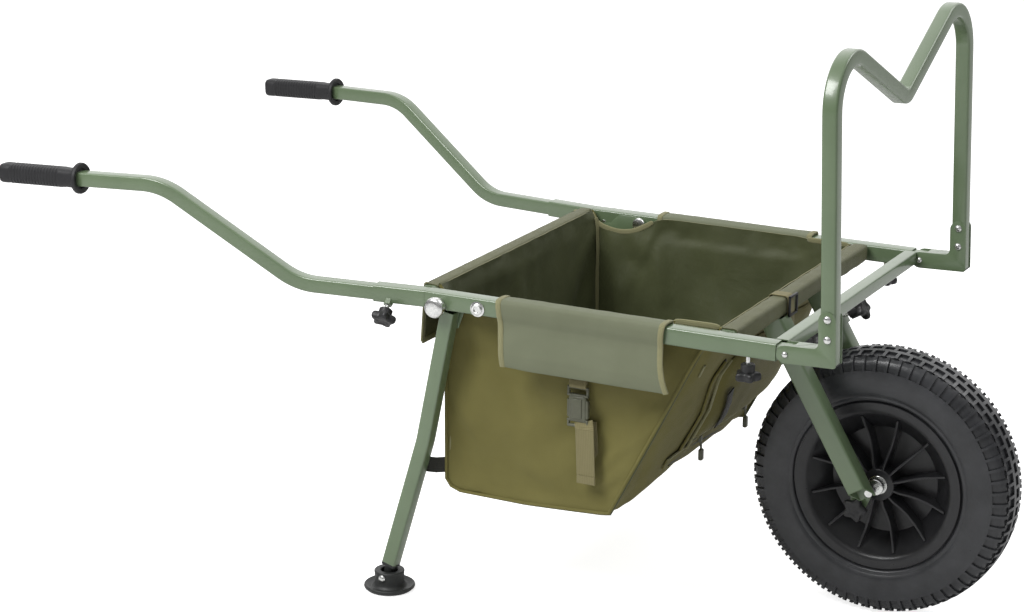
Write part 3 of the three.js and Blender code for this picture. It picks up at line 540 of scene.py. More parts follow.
def knobMaster(knob):
    clear()
    count = knob["lobes"] * 14
    bpy.ops.mesh.primitive_circle_add(vertices=count, radius=knob["radius"], fill_type="NGON")
    head = fresh("knobMaster")
    for vertex in head.data.vertices:
        angle = math.atan2(vertex.co.y, vertex.co.x)
        inward = knob["lobeDepth"] * (0.5 - 0.5 * math.cos(knob["lobes"] * angle)) ** 0.8
        vertex.co = vertex.co * (1 - inward / knob["radius"])
    startEdit(head)
    pickAll()
    low, scale = 0, 1
    for rise, share in knob["rings"]:
        if rise:
            extrude((0, 0, rise - low))
        k = share / scale
        bpy.ops.transform.resize(value=(k, k, 1), center_override=(0, 0, rise))
        low, scale = rise, share
    pickAll()
    bpy.ops.mesh.fill_holes(sides=0)
    endEdit()
    return facesOut(head)


def addKnob(name, base, way, reach, body, node):
    way = Vector(way).normalized()
    turn = Vector((0, 0, 1)).rotation_difference(way).to_matrix().to_4x4()
    low = reach - starKnob["thickness"] / 2
    head = copyPiece(knobShape, name, base + way * low, turn)
    neck, wide = max(starKnob["shortNeck"], low - starKnob["screwShows"]), starKnob["neckRadius"]
    collar = turnedPiece(f"{name}Neck", [
        (0, -neck), (wide * 0.86, -neck), (wide, 0.0012 - neck), (wide, 0.001), (0, 0.001)],
        base + way * low, way, 24)
    head = joinPieces([head, collar], name)
    handOver(head, knobPlastic, body, node, 40)
    radius = starKnob["screwRadius"]
    screw = turnedPiece(f"{name}Screw", [
        (0, 0), (radius * 0.7, 0), (radius, radius * 0.3), (radius, low - 0.003), (0, low - 0.003)],
        base, way, 16)
    handOver(screw, plate, body)


knobShape = knobMaster(starKnob)
print("knob shape ready")


# Handles: splayed sockets, bent tubes, grips

handles = {
    "splay": 0.1134, "socket": 0.082, "tube": 0.0214, "corner": 0.0028, "bend": 0.095,
    "corners": [(-0.006, 0, 0), (-0.207, 0, 0), (-0.413, 0.0285, 0.1354),
                (-0.551, 0.0285, 0.1321), (-0.6855, 0.017, 0.1269)],
    "knobAt": 0.058, "knobReach": 0.043, "screwTip": 0.01366,
    "bossBore": 0.0033, "bossLow": 0.012, "bossRadius": 0.007, "bossReach": 0.021,
}
grip = {
    "size": 0.029, "corner": 0.0085, "guardRadius": 0.0235, "guardThickness": 0.008,
    "ribsFrom": 0.030, "ribs": 17, "ribPitch": 0.0054, "ribDepth": 0.965, "length": 0.1394,
}


def onHandle(sign, point):
    turn = Matrix.Rotation(-sign * handles["splay"], 4, "Z")
    x, y, z = point
    return at(rails["rear"], sign * rails["y"], rails["z"]) + turn @ Vector((x, sign * y, z))


def gripPiece(name, start, way, side):
    turn = Matrix((side, way.cross(side), way)).transposed()
    clear()
    bpy.ops.mesh.primitive_plane_add(size=grip["size"], location=start, rotation=turn.to_euler())
    piece = settle(fresh(name))
    startEdit(piece, "VERT")
    pickAll()
    bpy.ops.mesh.bevel(offset=grip["corner"], segments=5, affect="VERTICES")
    pickAll()
    stations = [(0.004, 0.99), (0.020, 0.94)]
    for rib in range(grip["ribs"]):
        low = grip["ribsFrom"] + rib * grip["ribPitch"]
        for share, scale in ((0, 1), (0.6, 1), (0.72, grip["ribDepth"]), (0.92, grip["ribDepth"])):
            stations.append((low + share * grip["ribPitch"], scale))
    stations += [(grip["length"] - 0.014, 1), (grip["length"] - 0.004, 1),
                 (grip["length"] - 0.001, 0.955), (grip["length"], 0.88)]
    along, scale = 0, 1
    for reach, share in stations:
        extrude(way * (reach - along))
        k = share / scale
        bpy.ops.transform.resize(value=(k, k, k), center_override=start + way * reach)
        along, scale = reach, share
    endEdit()
    return facesOut(piece)


def addHandles():
    for side, sign in bothSides:
        way = (onHandle(sign, (-1, 0, 0)) - onHandle(sign, (0, 0, 0))).normalized()
        ends = [onHandle(sign, (x, 0, 0)) for x in (0.02, -handles["socket"])]
        sleeve = bentTube(f"handleSocket_{side}", ends, [], rails["size"], rails["corner"], wall=0)
        cutOff(sleeve, at(rails["rear"] - clearance, 0, 0), (1, 0, 0))
        giveWall(sleeve, 0.0015)
        knobWay = Vector((0, sign, -1)).normalized()
        knobWay = Matrix.Rotation(-sign * handles["splay"], 3, "Z") @ knobWay
        middle = onHandle(sign, (-handles["knobAt"], 0, 0))
        bore, low = handles["bossBore"], handles["bossLow"]
        radius, reach = handles["bossRadius"], handles["bossReach"]
        boss = turnedPiece("knobBoss", [
            (bore, low), (radius, low), (radius, reach - 0.0008), (radius - 0.0008, reach), (bore, reach)],
            middle, knobWay, 6)
        socket = joinPieces([sleeve, boss], f"handleSocket_{side}")
        handOver(socket, enamel, "frame", f"handle_socket_{side}", 30)
        addKnob(f"handleKnob_{side}", middle + knobWay * handles["screwTip"], knobWay,
                handles["knobReach"] - handles["screwTip"], f"handle_knob_{side}", f"handle_knob_{side}")

        corners = [onHandle(sign, corner) for corner in handles["corners"]]
        bends = [handles["bend"]] * 3
        tube = bentTube(f"handleTube_{side}", corners, bends, handles["tube"], handles["corner"], steps=14)
        handOver(tube, enamel, f"handle_{side}", f"handle_tube_{side}", 30)

        way = (corners[4] - corners[3]).normalized()
        across = Vector((0, 1, 0))
        across = (across - way * across.dot(way)).normalized()
        body = gripPiece("gripBody", corners[3], way, across)
        half, radius = grip["guardThickness"] / 2, grip["guardRadius"]
        guard = turnedPiece("gripGuard", [
            (0.0155, -half * 0.5), (radius * 0.8, -half * 0.8), (radius * 0.95, -half), (radius, -half * 0.5),
            (radius, half * 0.3), (radius * 0.93, half * 0.8), (radius * 0.72, half * 1.1),
            (0.0135, half * 2.4)], corners[3], way, 36)
        whole = joinPieces([body, guard], f"grip_{side}_rubber")
        handOver(whole, gripRubber, f"handle_{side}", f"grip_{side}", 50)


# Fork

fork = {
    "slope": 1.0385, "axleOffset": 0.0036, "arm": 0.028, "corner": 0.0032, "armY": 0.087, "armTop": 0.278,
    "pastAxle": 0.008, "bevel": 0.020, "slotHalf": 0.0063, "socketWall": 0.0027, "socketCorner": 0.004,
    "socketLow": 0.220, "socketHigh": 0.32, "socketTopZ": 0.4497, "knobAt": 0.232, "knobReach": 0.050,
    "tab": [(0.034, 0), (-0.0077, 0), (-0.025, -0.023), (-0.025, -0.039), (-0.009, -0.039), (0.034, -0.014)],
    "tabStep": [(0.034, 0), (0.017, 0), (0.017, -0.014), (0.034, -0.014)],
    "tabInner": 0.053, "tabThickness": 0.003, "tabKnob": (-0.017, -0.031), "tabKnobTip": 0.050,
    "tabKnobReach": 0.0164, "wheelZ": 0.2,
    "axleHalf": [(0.006, 0.0346), (0.0115, 0.0346), (0.012, 0.0352), (0.012, 0.0458), (0.0112, 0.0466),
                 (0.006, 0.0466), (0.006, 0.0744), (0.0052, 0.0752), (0, 0.0752)],
}
forkDown = Vector((math.cos(fork["slope"]), 0, -math.sin(fork["slope"])))
forkFace = Vector((math.sin(fork["slope"]), 0, math.cos(fork["slope"])))


def onFork(up, out, y):
    return at(-fork["axleOffset"], y, fork["wheelZ"]) - forkDown * up + forkFace * out


def addFork():
    for side, sign in bothSides:
        y = sign * fork["armY"]
        inner = fork["armY"] - fork["arm"] / 2
        ends = [onFork(up, 0, y) for up in (fork["armTop"], -fork["pastAxle"])]
        arm = bentTube(f"forkArm_{side}", ends, [], fork["arm"], fork["corner"], 0.002)
        half = fork["slotHalf"]
        slot = boxPiece("slotCut", (-0.04, -0.05, -half), (0, 0.05, half), 0)
        turn = Matrix.Rotation(fork["slope"], 4, "Y") @ Matrix.Rotation(math.pi, 4, "Z")
        slot.matrix_world = Matrix.Translation(at(0, y, fork["wheelZ"])) @ turn
        cutWith(arm, settle(slot))
        bevel = boxPiece("bevelCut", (-0.08, -0.08, -0.08), (0, 0.08, 0.08), 0)
        turn = Matrix((-forkDown, (0, 1, 0), -forkFace)).transposed().to_4x4() \
            @ Matrix.Rotation(-sign * math.atan2(fork["bevel"], fork["arm"]), 4, "Z")
        bevel.matrix_world = Matrix.Translation(onFork(-fork["pastAxle"], 0, sign * inner)) @ turn
        cutWith(arm, settle(bevel))
        parts = [arm]
        stepReach = inner + 0.001 - fork["tabInner"]
        for points, reach in ((fork["tab"], fork["tabThickness"]), (fork["tabStep"], stepReach)):
            places = [onFork(up, out, 0) for up, out in points]
            low = min(sign * fork["tabInner"], sign * (fork["tabInner"] + reach))
            sheet = slabPiece("forkTab", [(p.x, -p.z) for p in places], reach, (0, low, 0),
                              Matrix.Rotation(-math.pi / 2, 4, "X"))
            parts.append(roundEdges(sheet, 0.0007, 2))
        arm = joinPieces(parts, f"forkArm_{side}")
        handOver(arm, enamel, "fork", f"fork_arm_{side}", 30)

        size = fork["arm"] + 2 * (clearance + fork["socketWall"])
        ends = [onFork(up, 0, y) for up in (fork["socketHigh"], fork["socketLow"])]
        socket = bentTube(f"forkSocket_{side}", ends, [], size, fork["socketCorner"], wall=0)
        cutOff(socket, at(0, 0, fork["socketTopZ"]), (0, 0, 1))
        giveWall(socket, fork["socketWall"])
        handOver(socket, enamel, "frame", f"fork_socket_{side}", 30)

        base = onFork(fork["knobAt"], fork["arm"] / 2 + clearance, y)
        addKnob(f"forkKnob_{side}", base, forkFace, fork["knobReach"] - fork["arm"] / 2 - clearance,
                f"fork_knob_{side}", f"fork_knob_{side}")
        base = onFork(*fork["tabKnob"], sign * fork["tabKnobTip"])
        addKnob(f"axleKnob_{side}", base, (0, sign, 0), fork["tabKnobReach"],
                f"axle_knob_{side}", f"axle_knob_{side}")

    half = fork["axleHalf"]
    profile = [(r, -y) for r, y in reversed(half)] + half
    axle = turnedPiece("axleRod", profile, at(0, 0, fork["wheelZ"]), (0, 1, 0), 32)
    handOver(axle, plate, "fork", "axle", 30)


# Wheel: moulded rim with a web and ribs, and a tyre with a block tread

rim = {
    "outer": [(0.090, 0.006), (0.108, 0.0216), (0.112, 0.034), (0.1254, 0.038), (0.126, 0.0387),
              (0.1256, 0.0398)],
    "inner": [(0.1165, 0.0402), (0.1125, 0.0396), (0.1090, 0.0376), (0.1064, 0.0338), (0.080, 0.003),
              (0.022, 0.003)],
    "hubRadius": 0.024, "hubHalf": 0.034, "hubStep": 0.024, "bore": 0.008, "bearing": 0.0143,
    "ribs": 12, "ribThickness": 0.0036, "ribPhase": 0.279,
    "ribEdge": [(0.022, 0.0337), (0.034, 0.0328), (0.047, 0.0272), (0.060, 0.0242), (0.076, 0.0254),
                (0.091, 0.0300), (0.104, 0.0342), (0.1065, 0.0216), (0.0895, 0.0055)],
    "valveY": 0.014, "valveEnd": 0.108,
    "valve": [(0, 0), (0.004, 0), (0.004, 0.018), (0.0036, 0.0195), (0.0028, 0.020), (0.0028, 0.029),
              (0.0020, 0.0305), (0, 0.0305)],
    "race": [(0.0063, 0), (0.0078, 0), (0.0082, 0.0003), (0.0136, 0.0003), (0.014, 0), (0.014, -0.009),
             (0.0063, -0.009)],
}
tyre = {
    "radius": 0.2, "halfWidth": 0.045, "pitches": 66, "stepsPerPitch": 4, "treadFrom": 0.88,
    "lugHeight": 0.0034, "lugRim": 0.0004, "lugShift": 2,
    "lugs": (("shoulder", 0, 1), ("outer", 2, 1), ("centre", 0, 0.9)),
    "crown": [(0.957, 0.80), (0.972, 0.66), (0.981, 0.48), (0.985, 0.30), (0.987, 0.13)],
    "wall": [(0.565, 0.86), (0.60, 0.80), (0.634, 0.79), (0.640, 0.80), (0.646, 0.885), (0.655, 0.915),
             (0.668, 0.925), (0.678, 0.915), (0.690, 0.945), (0.71, 0.975),
             (0.765, 1.0), (0.82, 0.996), (0.87, 0.965), (0.905, 0.925), (0.934, 0.875)],
}


def addRim():
    axle = at(0, 0, fork["wheelZ"])
    outer, inner = rim["outer"], rim["inner"]
    loop = [(r, -y) for r, y in reversed(outer)] + outer + inner + [(r, -y) for r, y in reversed(inner)]
    barrel = turnedPiece("rimBarrel", loop + loop[:1], axle, (0, 1, 0), 96)
    half, radius = rim["hubHalf"], rim["hubRadius"]
    hubLoop = [(rim["bore"], -rim["hubStep"]), (rim["bearing"], -rim["hubStep"]), (rim["bearing"], -half),
               (radius - 0.001, -half), (radius, -half + 0.001)]
    hubLoop += [(r, -y) for r, y in reversed(hubLoop)]
    hub = turnedPiece("rimHub", hubLoop + hubLoop[:1], axle, (0, 1, 0), 48)
    edge = rim["ribEdge"]
    thickness = rim["ribThickness"]
    outline = edge + [(r, -y) for r, y in reversed(edge)]
    blade = slabPiece("ribBlade", outline, thickness, (0, 0, -thickness / 2))
    roundEdges(blade, 0.0009, 2, 60)
    blades = []
    for i in range(rim["ribs"]):
        turn = Matrix.Rotation(-rim["ribPhase"] - math.tau * i / rim["ribs"], 4, "Y")
        blades.append(copyPiece(blade, f"ribBlade{i}", axle, turn))
    bpy.data.objects.remove(blade)
    foot = axle + Vector((0, rim["valveY"], -rim["valveEnd"]))
    stem = turnedPiece("valveStem", rim["valve"], foot, (0, 0, 1), 16)
    whole = joinPieces([barrel, hub, *blades], "rimBody")
    handOver(whole, rimPlastic, "wheel", "rim", 32)
    handOver(stem, knobPlastic, "wheel", (), 32)


def tyreProfile():
    side = tyre["wall"] + tyre["crown"]
    points = [(r * tyre["radius"], w * tyre["halfWidth"]) for r, w in side]
    return [(r, -w) for r, w in points] + [(r, w) for r, w in reversed(points)]


def addTyre():
    axle = at(0, 0, fork["wheelZ"])
    steps = tyre["pitches"] * tyre["stepsPerPitch"]
    body = turnedPiece("tyreBody", tyreProfile(), axle, (0, 1, 0), steps)
    rows = [w * tyre["halfWidth"] for r, w in tyre["wall"][-3:] + tyre["crown"]]
    bandEdges = {"shoulder": (rows[0], rows[4]), "outer": (rows[4], rows[6]), "centre": (rows[7], -rows[7])}

    def lugFace(centre, band, phase):
        out = centre - axle
        if math.hypot(out.x, out.z) < tyre["treadFrom"] * tyre["radius"]:
            return False
        low, high = sorted(bandEdges[band])
        if band == "centre":
            low = 0
        if not low - 1e-5 < abs(out.y) < high + 1e-5:
            return False
        step = int(math.atan2(out.z, out.x) % math.tau / math.tau * steps)
        shift = tyre["lugShift"] if out.y > 0 else 0
        return (step + phase + shift) % tyre["stepsPerPitch"] != 0

    for band, phase, height in tyre["lugs"]:
        pickFaces(body, lambda centre, normal: lugFace(centre, band, phase))
        bpy.ops.mesh.extrude_region_shrink_fatten(
            TRANSFORM_OT_shrink_fatten={"value": -tyre["lugHeight"] * height})
        bpy.ops.mesh.inset(thickness=tyre["lugRim"], depth=0)
        endEdit()
    handOver(body, tyreBlack, "wheel", "tyre", 38)
    for side, sign in bothSides:
        race = rim["race"]
        bearing = turnedPiece(f"wheelBearing_{side}_race", race + race[:1],
                              at(0, sign * rim["hubHalf"], fork["wheelZ"]), (0, sign, 0), 32)
        handOver(bearing, plate, "wheel", f"wheel_bearing_{side}", 30)


# Rack

rack = {
    "pivot": (-0.0525, 0.4595), "lean": 0.035, "tube": 0.022, "corner": 0.0035, "reach": 0.0605,
    "topBend": 0.066, "valleyBend": 0.030, "valleyRise": 0.3025, "diagonal": 0.471, "footDrop": 0.009,
    "sheet": 0.0015, "bracketRadius": 0.0125, "legTop": 0.065, "legWidth": 0.025, "toeCorner": 0.004,
    "fillet": 0.008, "webStart": 0.011, "past": 0.04, "boltRises": (0.0265, 0.0545), "boltRadius": 0.003,
    "boltHead": 0.0055, "pivotHead": 0.0045, "headHeight": 0.003, "plug": 0.0027,
    "knob": (-0.110, 0.4485), "knobReach": 0.0315,
}


def onRack(x, y, rise):
    px, pz = rack["pivot"]
    s, c = math.sin(rack["lean"]), math.cos(rack["lean"])
    return at(px + x * c - rise * s, y, pz + x * s + rise * c)


def rackTurn():
    px, pz = rack["pivot"]
    return Matrix.Translation(at(px, 0, pz)) @ Matrix.Rotation(-rack["lean"], 4, "Y")


def domeBolt(name, radius, headRadius, headHeight, length, middle, way=(0, 1, 0)):
    end = length / 2
    half = [(0, end + headHeight)]
    for across, up in ((0.35, 0.93), (0.7, 0.68), (0.95, 0.3)):
        half.append((headRadius * across, end + headHeight * up))
    half += [(headRadius, end + 0.0002), (headRadius * 0.97, end), (radius, end)]
    return turnedPiece(name, half + [(r, -z) for r, z in reversed(half)], middle, way, 24)


def arc(cx, cy, radius, start, end, steps=8):
    angles = [start + (end - start) * i / steps for i in range(steps + 1)]
    return [(cx + radius * math.cos(a), cy + radius * math.sin(a)) for a in angles]


def addRack():
    corner = rack["valleyRise"] + rack["diagonal"] * rails["y"]
    reach = rack["reach"]
    path = [onRack(reach, -rails["y"], -rack["footDrop"]), onRack(reach, -rails["y"], corner),
            onRack(reach, 0, rack["valleyRise"]), onRack(reach, rails["y"], corner),
            onRack(reach, rails["y"], -rack["footDrop"])]
    bar = bentTube("rackTube", path, [rack["topBend"], rack["valleyBend"], rack["topBend"]], rack["tube"],
                   rack["corner"], steps=20, across=(1, 0, 0))
    handOver(bar, enamel, "rack", "rack_bar", 30)

    half = rack["tube"] / 2
    legBack = reach - half - clearance - rack["sheet"]
    legFront = legBack + rack["legWidth"]
    r, f, top, toe, past = (rack[key] for key in ("bracketRadius", "fillet", "legTop", "toeCorner", "past"))
    width = rack["tube"] + 2 * clearance + 2 * rack["sheet"]
    cheek = rack["tube"] / 2 + clearance
    outline = arc(0, 0, r, math.pi / 2, 3 * math.pi / 2)
    outline += arc(legFront - toe, -r + toe, toe, -math.pi / 2, 0, 4)
    outline += arc(legFront - r, top - r, r, 0, math.pi, 14)
    outline += list(reversed(arc(legBack - f, r + f, f, -math.pi / 2, 0)))
    hollows = (((-r - past, -r - past), (legBack + rack["sheet"], r - rack["sheet"])),
               ((-r - past, 0), (rack["webStart"], top)),
               ((legBack + rack["sheet"], -r - past), (legFront + past, top + past)))
    for side, sign in bothSides:
        y = sign * rails["y"]
        turn = Matrix.Rotation(math.pi / 2, 4, "X")
        bracket = slabPiece("bracket", outline, width, (0, y + width / 2, 0), turn)
        for low, high in hollows:
            cutter = boxPiece("cut", (low[0], y - cheek, low[1]), (high[0], y + cheek, high[1]), 0)
            cutWith(bracket, cutter)
        bracket.matrix_world = rackTurn()
        settle(bracket)
        roundEdges(bracket, 0.0004, 2, 50)
        bracket.name = f"rackBracket_{side}"
        handOver(bracket, enamel, "rack", f"rack_bracket_{side}", 30)
        length = 2 * (cheek + rack["sheet"] + clearance)
        for i, rise in enumerate(rack["boltRises"]):
            bolt = domeBolt(f"rackBolt_{side}_{i + 1}", rack["boltRadius"], rack["boltHead"],
                            rack["headHeight"], length, onRack(reach, y, rise))
            handOver(bolt, plate, "rack", f"rack_bolt_{side}_{i + 1}", 50)
        px, pz = rack["pivot"]
        bolt = domeBolt(f"rackPivot_{side}", rack["boltRadius"], rack["pivotHead"], rack["headHeight"],
                        length, at(px, y, pz))
        handOver(bolt, plate, "rack_tongues", f"rack_pivot_bolt_{side}", 50)
        plug = boxPiece(f"rackPlug_{side}", (reach - half, y - half, -rack["footDrop"] - rack["plug"]),
                        (reach + half, y + half, -rack["footDrop"] - clearance), 0.0009, 3)
        plug.matrix_world = rackTurn()
        settle(plug)
        handOver(plug, knobPlastic, "rack", f"rack_end_plug_{side}", 40)
        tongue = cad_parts[f"rack_tongue_{side}"]
        tongue.data.materials.clear()
        tongue.data.materials.append(enamel)
        x, z = rack["knob"]
        addKnob(f"frontKnob_{side}", at(x, y, z), (0, 0, -1), rack["knobReach"],
                f"front_knob_{side}", f"front_knob_{side}")


# Legs and feet

leg = {
    "tube": 0.022, "corner": 0.0028, "bend": 0.22, "top": (-0.5725, 0.444), "knee": (-0.614, 0.240),
    "end": (-0.668, 0.042), "splay": 0.010, "pivot": (-0.521, 0.457), "pin": (-0.585, 0.453),
    "plate": [(-0.597, 0.453), (-0.573, 0.453), (-0.557, 0.469), (-0.521, 0.469), (-0.509, 0.457),
              (-0.515, 0.445), (-0.5575, 0.439), (-0.5665, 0.415), (-0.5875, 0.415)],
    "plateIn": 0.2617, "plateOut": 0.2593, "padY": (0.2595, 0.2642), "padLow": (-0.583, 0.4155),
    "padHigh": (-0.567, 0.4435), "footBolt": (-0.671, 0.285, 0.022),
    "bolt": [(0, 0.2543), (0.0085, 0.2543), (0.0105, 0.2552), (0.011, 0.2565), (0.011, 0.2585),
             (0.004, 0.2588)],
    "boltHead": [(0.004, 0), (0.011, 0), (0.0112, 0.0012), (0.0088, 0.0018), (0.0085, 0.0042),
                 (0.0070, 0.0052), (0.0044, 0.0052), (0.0040, 0.0030), (0, 0.0030)],
    "pinStem": [(0, 0.2596), (0.0035, 0.2596), (0.004, 0.2604)],
    "pinHead": [(0.004, 0), (0.0125, 0), (0.0132, 0.0008), (0.0132, 0.0040), (0.0122, 0.0050),
                (0.0148, 0.0068), (0.015, 0.0080), (0.015, 0.0136), (0.0143, 0.0152), (0.0122, 0.0170),
                (0.0080, 0.0178), (0.0040, 0.0180), (0, 0.0180)],
    "pinSides": 48, "grooveEvery": 4, "grooves": (0.0075, 0.0140), "grooveRadius": 0.0140,
    "foot": [(0, 0), (0.0325, 0), (0.0344, 0.0006), (0.0378, 0.0036), (0.0384, 0.0052), (0.0380, 0.0072),
             (0.0366, 0.0082), (0.0350, 0.0078), (0.0300, 0.0056), (0.0262, 0.0056), (0.0240, 0.0072),
             (0.0225, 0.0100), (0.0219, 0.0140), (0.0222, 0.0250), (0.0226, 0.0268), (0.0226, 0.0290),
             (0.0216, 0.0300), (0.0140, 0.0300), (0.0130, 0.0290), (0.0130, 0.0080), (0, 0.0080)],
    "footBoltHead": 0.0055, "footBoltRise": 0.0025, "footBoltLength": 0.0456,
}


# The outer part of a profile starts from the rail's outer face
def fromRail(inner, outer):
    start = rails["y"] + rails["size"] / 2 + clearance
    return inner + [(radius, start + reach) for radius, reach in outer]


def addLegs():
    for side, sign in bothSides:
        y = sign * rails["y"]
        body = f"leg_{side}"
        corners = [at(leg["top"][0], y, leg["top"][1]), at(leg["knee"][0], y, leg["knee"][1]),
                   at(leg["end"][0], y + sign * leg["splay"], leg["end"][1])]
        tube = bentTube("legTube", corners, [leg["bend"]], leg["tube"], leg["corner"], steps=10)
        outline = [(wheelX + x, -z) for x, z in leg["plate"]]
        low = min(sign * leg["plateOut"], sign * leg["plateIn"])
        sheet = slabPiece("legPlate", outline, leg["plateIn"] - leg["plateOut"], (0, low, 0),
                          Matrix.Rotation(-math.pi / 2, 4, "X"))
        roundEdges(sheet, 0.0005, 2)
        (x0, z0), (x1, z1) = leg["padLow"], leg["padHigh"]
        ys = sorted(sign * y for y in leg["padY"])
        pad = boxPiece("legPad", at(x0, ys[0], z0), at(x1, ys[1], z1), 0.0006)
        whole = joinPieces([tube, sheet, pad], f"legTube_{side}")
        handOver(whole, enamel, body, f"leg_{side}", 30)

        bolt = turnedPiece(f"legPivot_{side}", fromRail(leg["bolt"], leg["boltHead"]),
                           at(leg["pivot"][0], 0, leg["pivot"][1]), (0, sign, 0), 36)
        handOver(bolt, plate, "frame", f"leg_pivot_bolt_{side}", 32)
        pin = pullPin(f"legPin_{side}_head", at(leg["pin"][0], 0, leg["pin"][1]), sign)
        handOver(pin, plate, f"leg_pin_{side}", f"leg_pin_{side}", 32)

        end = corners[2]
        down = (corners[2] - corners[1]).normalized()
        ends = [end + down * clearance, end + down * 0.0043]
        cap = bentTube("legCap", ends, [], leg["tube"], leg["corner"], wall=0)
        startEdit(cap, "EDGE")
        pickAll()
        bpy.ops.mesh.region_to_loop()
        bpy.ops.mesh.edge_face_add()
        endEdit()
        fillEnds(cap)
        fx, fy, fz = leg["footBolt"]
        foot = at(fx, sign * fy, fz)
        stemWay = end + down * 0.003 - foot
        stem = turnedPiece("legStem", [
            (0, -0.008), (0.006, -0.0065), (0.0085, 0), (0.0085, stemWay.length), (0, stemWay.length)],
            foot, stemWay, 24)
        cap = joinPieces([cap, stem], f"legCap_{side}")
        handOver(cap, footRubber, body, f"leg_cap_{side}", 40)
        bolt = domeBolt(f"footBolt_{side}", rack["boltRadius"], leg["footBoltHead"], leg["footBoltRise"],
                        leg["footBoltLength"], foot)
        handOver(bolt, plate, body, f"foot_bolt_{side}", 50)
        pad = turnedPiece(f"footPad_{side}", leg["foot"], at(fx, sign * fy, 0), (0, 0, 1), 48)
        handOver(pad, footRubber, f"foot_{side}", f"foot_{side}", 35)


def pullPin(name, place, sign):
    profile = fromRail(leg["pinStem"], leg["pinHead"])
    pin = turnedPiece(name, profile, (0, 0, 0), (0, sign, 0), leg["pinSides"])
    low, high = leg["grooves"]
    start = rails["y"] + rails["size"] / 2 + clearance

    def grooved(centre, normal):
        turned = math.atan2(centre.z, centre.x) / math.tau * leg["pinSides"]
        return low < abs(centre.y) - start < high and math.hypot(centre.x, centre.z) > leg["grooveRadius"] \
            and int(round(turned - 0.5)) % leg["grooveEvery"] == 0

    pickFaces(pin, grooved)
    bpy.ops.mesh.inset(thickness=0.0003, depth=-0.0009)
    endEdit()
    pin.location = place
    return settle(pin)


addRails()
addHandles()
print("rails and handles ready")
addFork()
addRim()
addTyre()
print("fork and wheel ready")
addRack()
addLegs()
print("rack and legs ready")
bpy.data.objects.remove(knobShape)


# Cloth: grids placed by code with UVs in metres, and outlines drawn along a path

def clothGrid(name, across, along, place, measure):
    clear()
    bpy.ops.mesh.primitive_grid_add(x_subdivisions=across, y_subdivisions=along, size=1)
    cloth = fresh(name)
    cells = [(round((v.co.x + 0.5) * across), round((v.co.y + 0.5) * along)) for v in cloth.data.vertices]
    for vertex, cell in zip(cloth.data.vertices, cells):
        vertex.co = place(*cell)
    layer = cloth.data.uv_layers.active.data
    for loop in cloth.data.loops:
        layer[loop.index].uv = measure(*cells[loop.vertex_index])
    return cloth


def lengths(points):
    total = [0]
    for a, b in zip(points, points[1:]):
        total.append(total[-1] + (Vector(b) - Vector(a)).length)
    return total


def resample(points, shares):
    points = [Vector(p) for p in points]
    total = lengths(points)
    found = []
    for share in shares:
        target = share * total[-1]
        i = next((i for i in range(1, len(total)) if target <= total[i]), len(total) - 1)
        found.append(points[i - 1].lerp(points[i], (target - total[i - 1]) / (total[i] - total[i - 1])))
    return found


def evenly(count):
    return [i / count for i in range(count + 1)]


def roundedBox(width, height, radius, steps=2):
    w, h = width / 2 - radius, height / 2 - radius
    points = []
    for cx, cy, start in ((w, h, 0), (-w, h, 90), (-w, -h, 180), (w, -h, 270)):
        points += arc(cx, cy, radius, math.radians(start), math.radians(start + 90), steps)
    return points


def drawnPiece(name, stations, outline, hint, capped=True):
    stations = [Vector(s) for s in stations]
    hint = Vector(hint)
    last, count = len(stations) - 1, len(outline)
    reach, girth = lengths(stations), lengths([(*p, 0) for p in outline + outline[:1]])
    frames = []
    for i in range(last + 1):
        way = (stations[min(i + 1, last)] - stations[max(i - 1, 0)]).normalized()
        side = (hint - way * hint.dot(way)).normalized()
        frames.append((side, way.cross(side)))

    def place(i, j):
        side, up = frames[i]
        a, b = outline[j % count]
        return stations[i] + side * a + up * b

    piece = clothGrid(name, last, count, place, lambda i, j: (girth[j], reach[i]))
    facesOut(piece)
    if capped:
        fillEnds(piece)
        facesOut(piece)
    return piece


def sewn(piece, material, smoothAngle):
    return handOver(piece, material, "frame", (), smoothAngle)


# Moves a piece's points along their normals by soft noise
def ripple(piece, amount, scale, seed=0):
    for vertex in piece.data.vertices:
        here = vertex.co * scale + Vector((seed, 3 * seed, -seed))
        vertex.co += vertex.normal * (noise.noise(here) * amount)
    piece.data.update()


# How deep the folds of [from, to, width, depth] press a wall in at a place, deepest at mid-length
def foldDepth(x, z, folds):
    total = 0
    for (x0, z0), (x1, z1), width, depth in folds:
        run = Vector((x1 - x0, z1 - z0))
        share = min(1, max(0, (Vector((x - x0, z - z0)) @ run) / run.length_squared))
        away = (Vector((x0, z0)) + run * share - Vector((x, z))).length
        total += depth * math.exp(-(away / width) ** 2) * math.sin(math.pi * (0.15 + 0.7 * share))
    return total


def smoothed(piece, levels=1):
    modifier = piece.modifiers.new("smoothed", "SUBSURF")
    modifier.levels = levels
    modifier.render_levels = levels
    return applyModifiers(piece)


# Bag

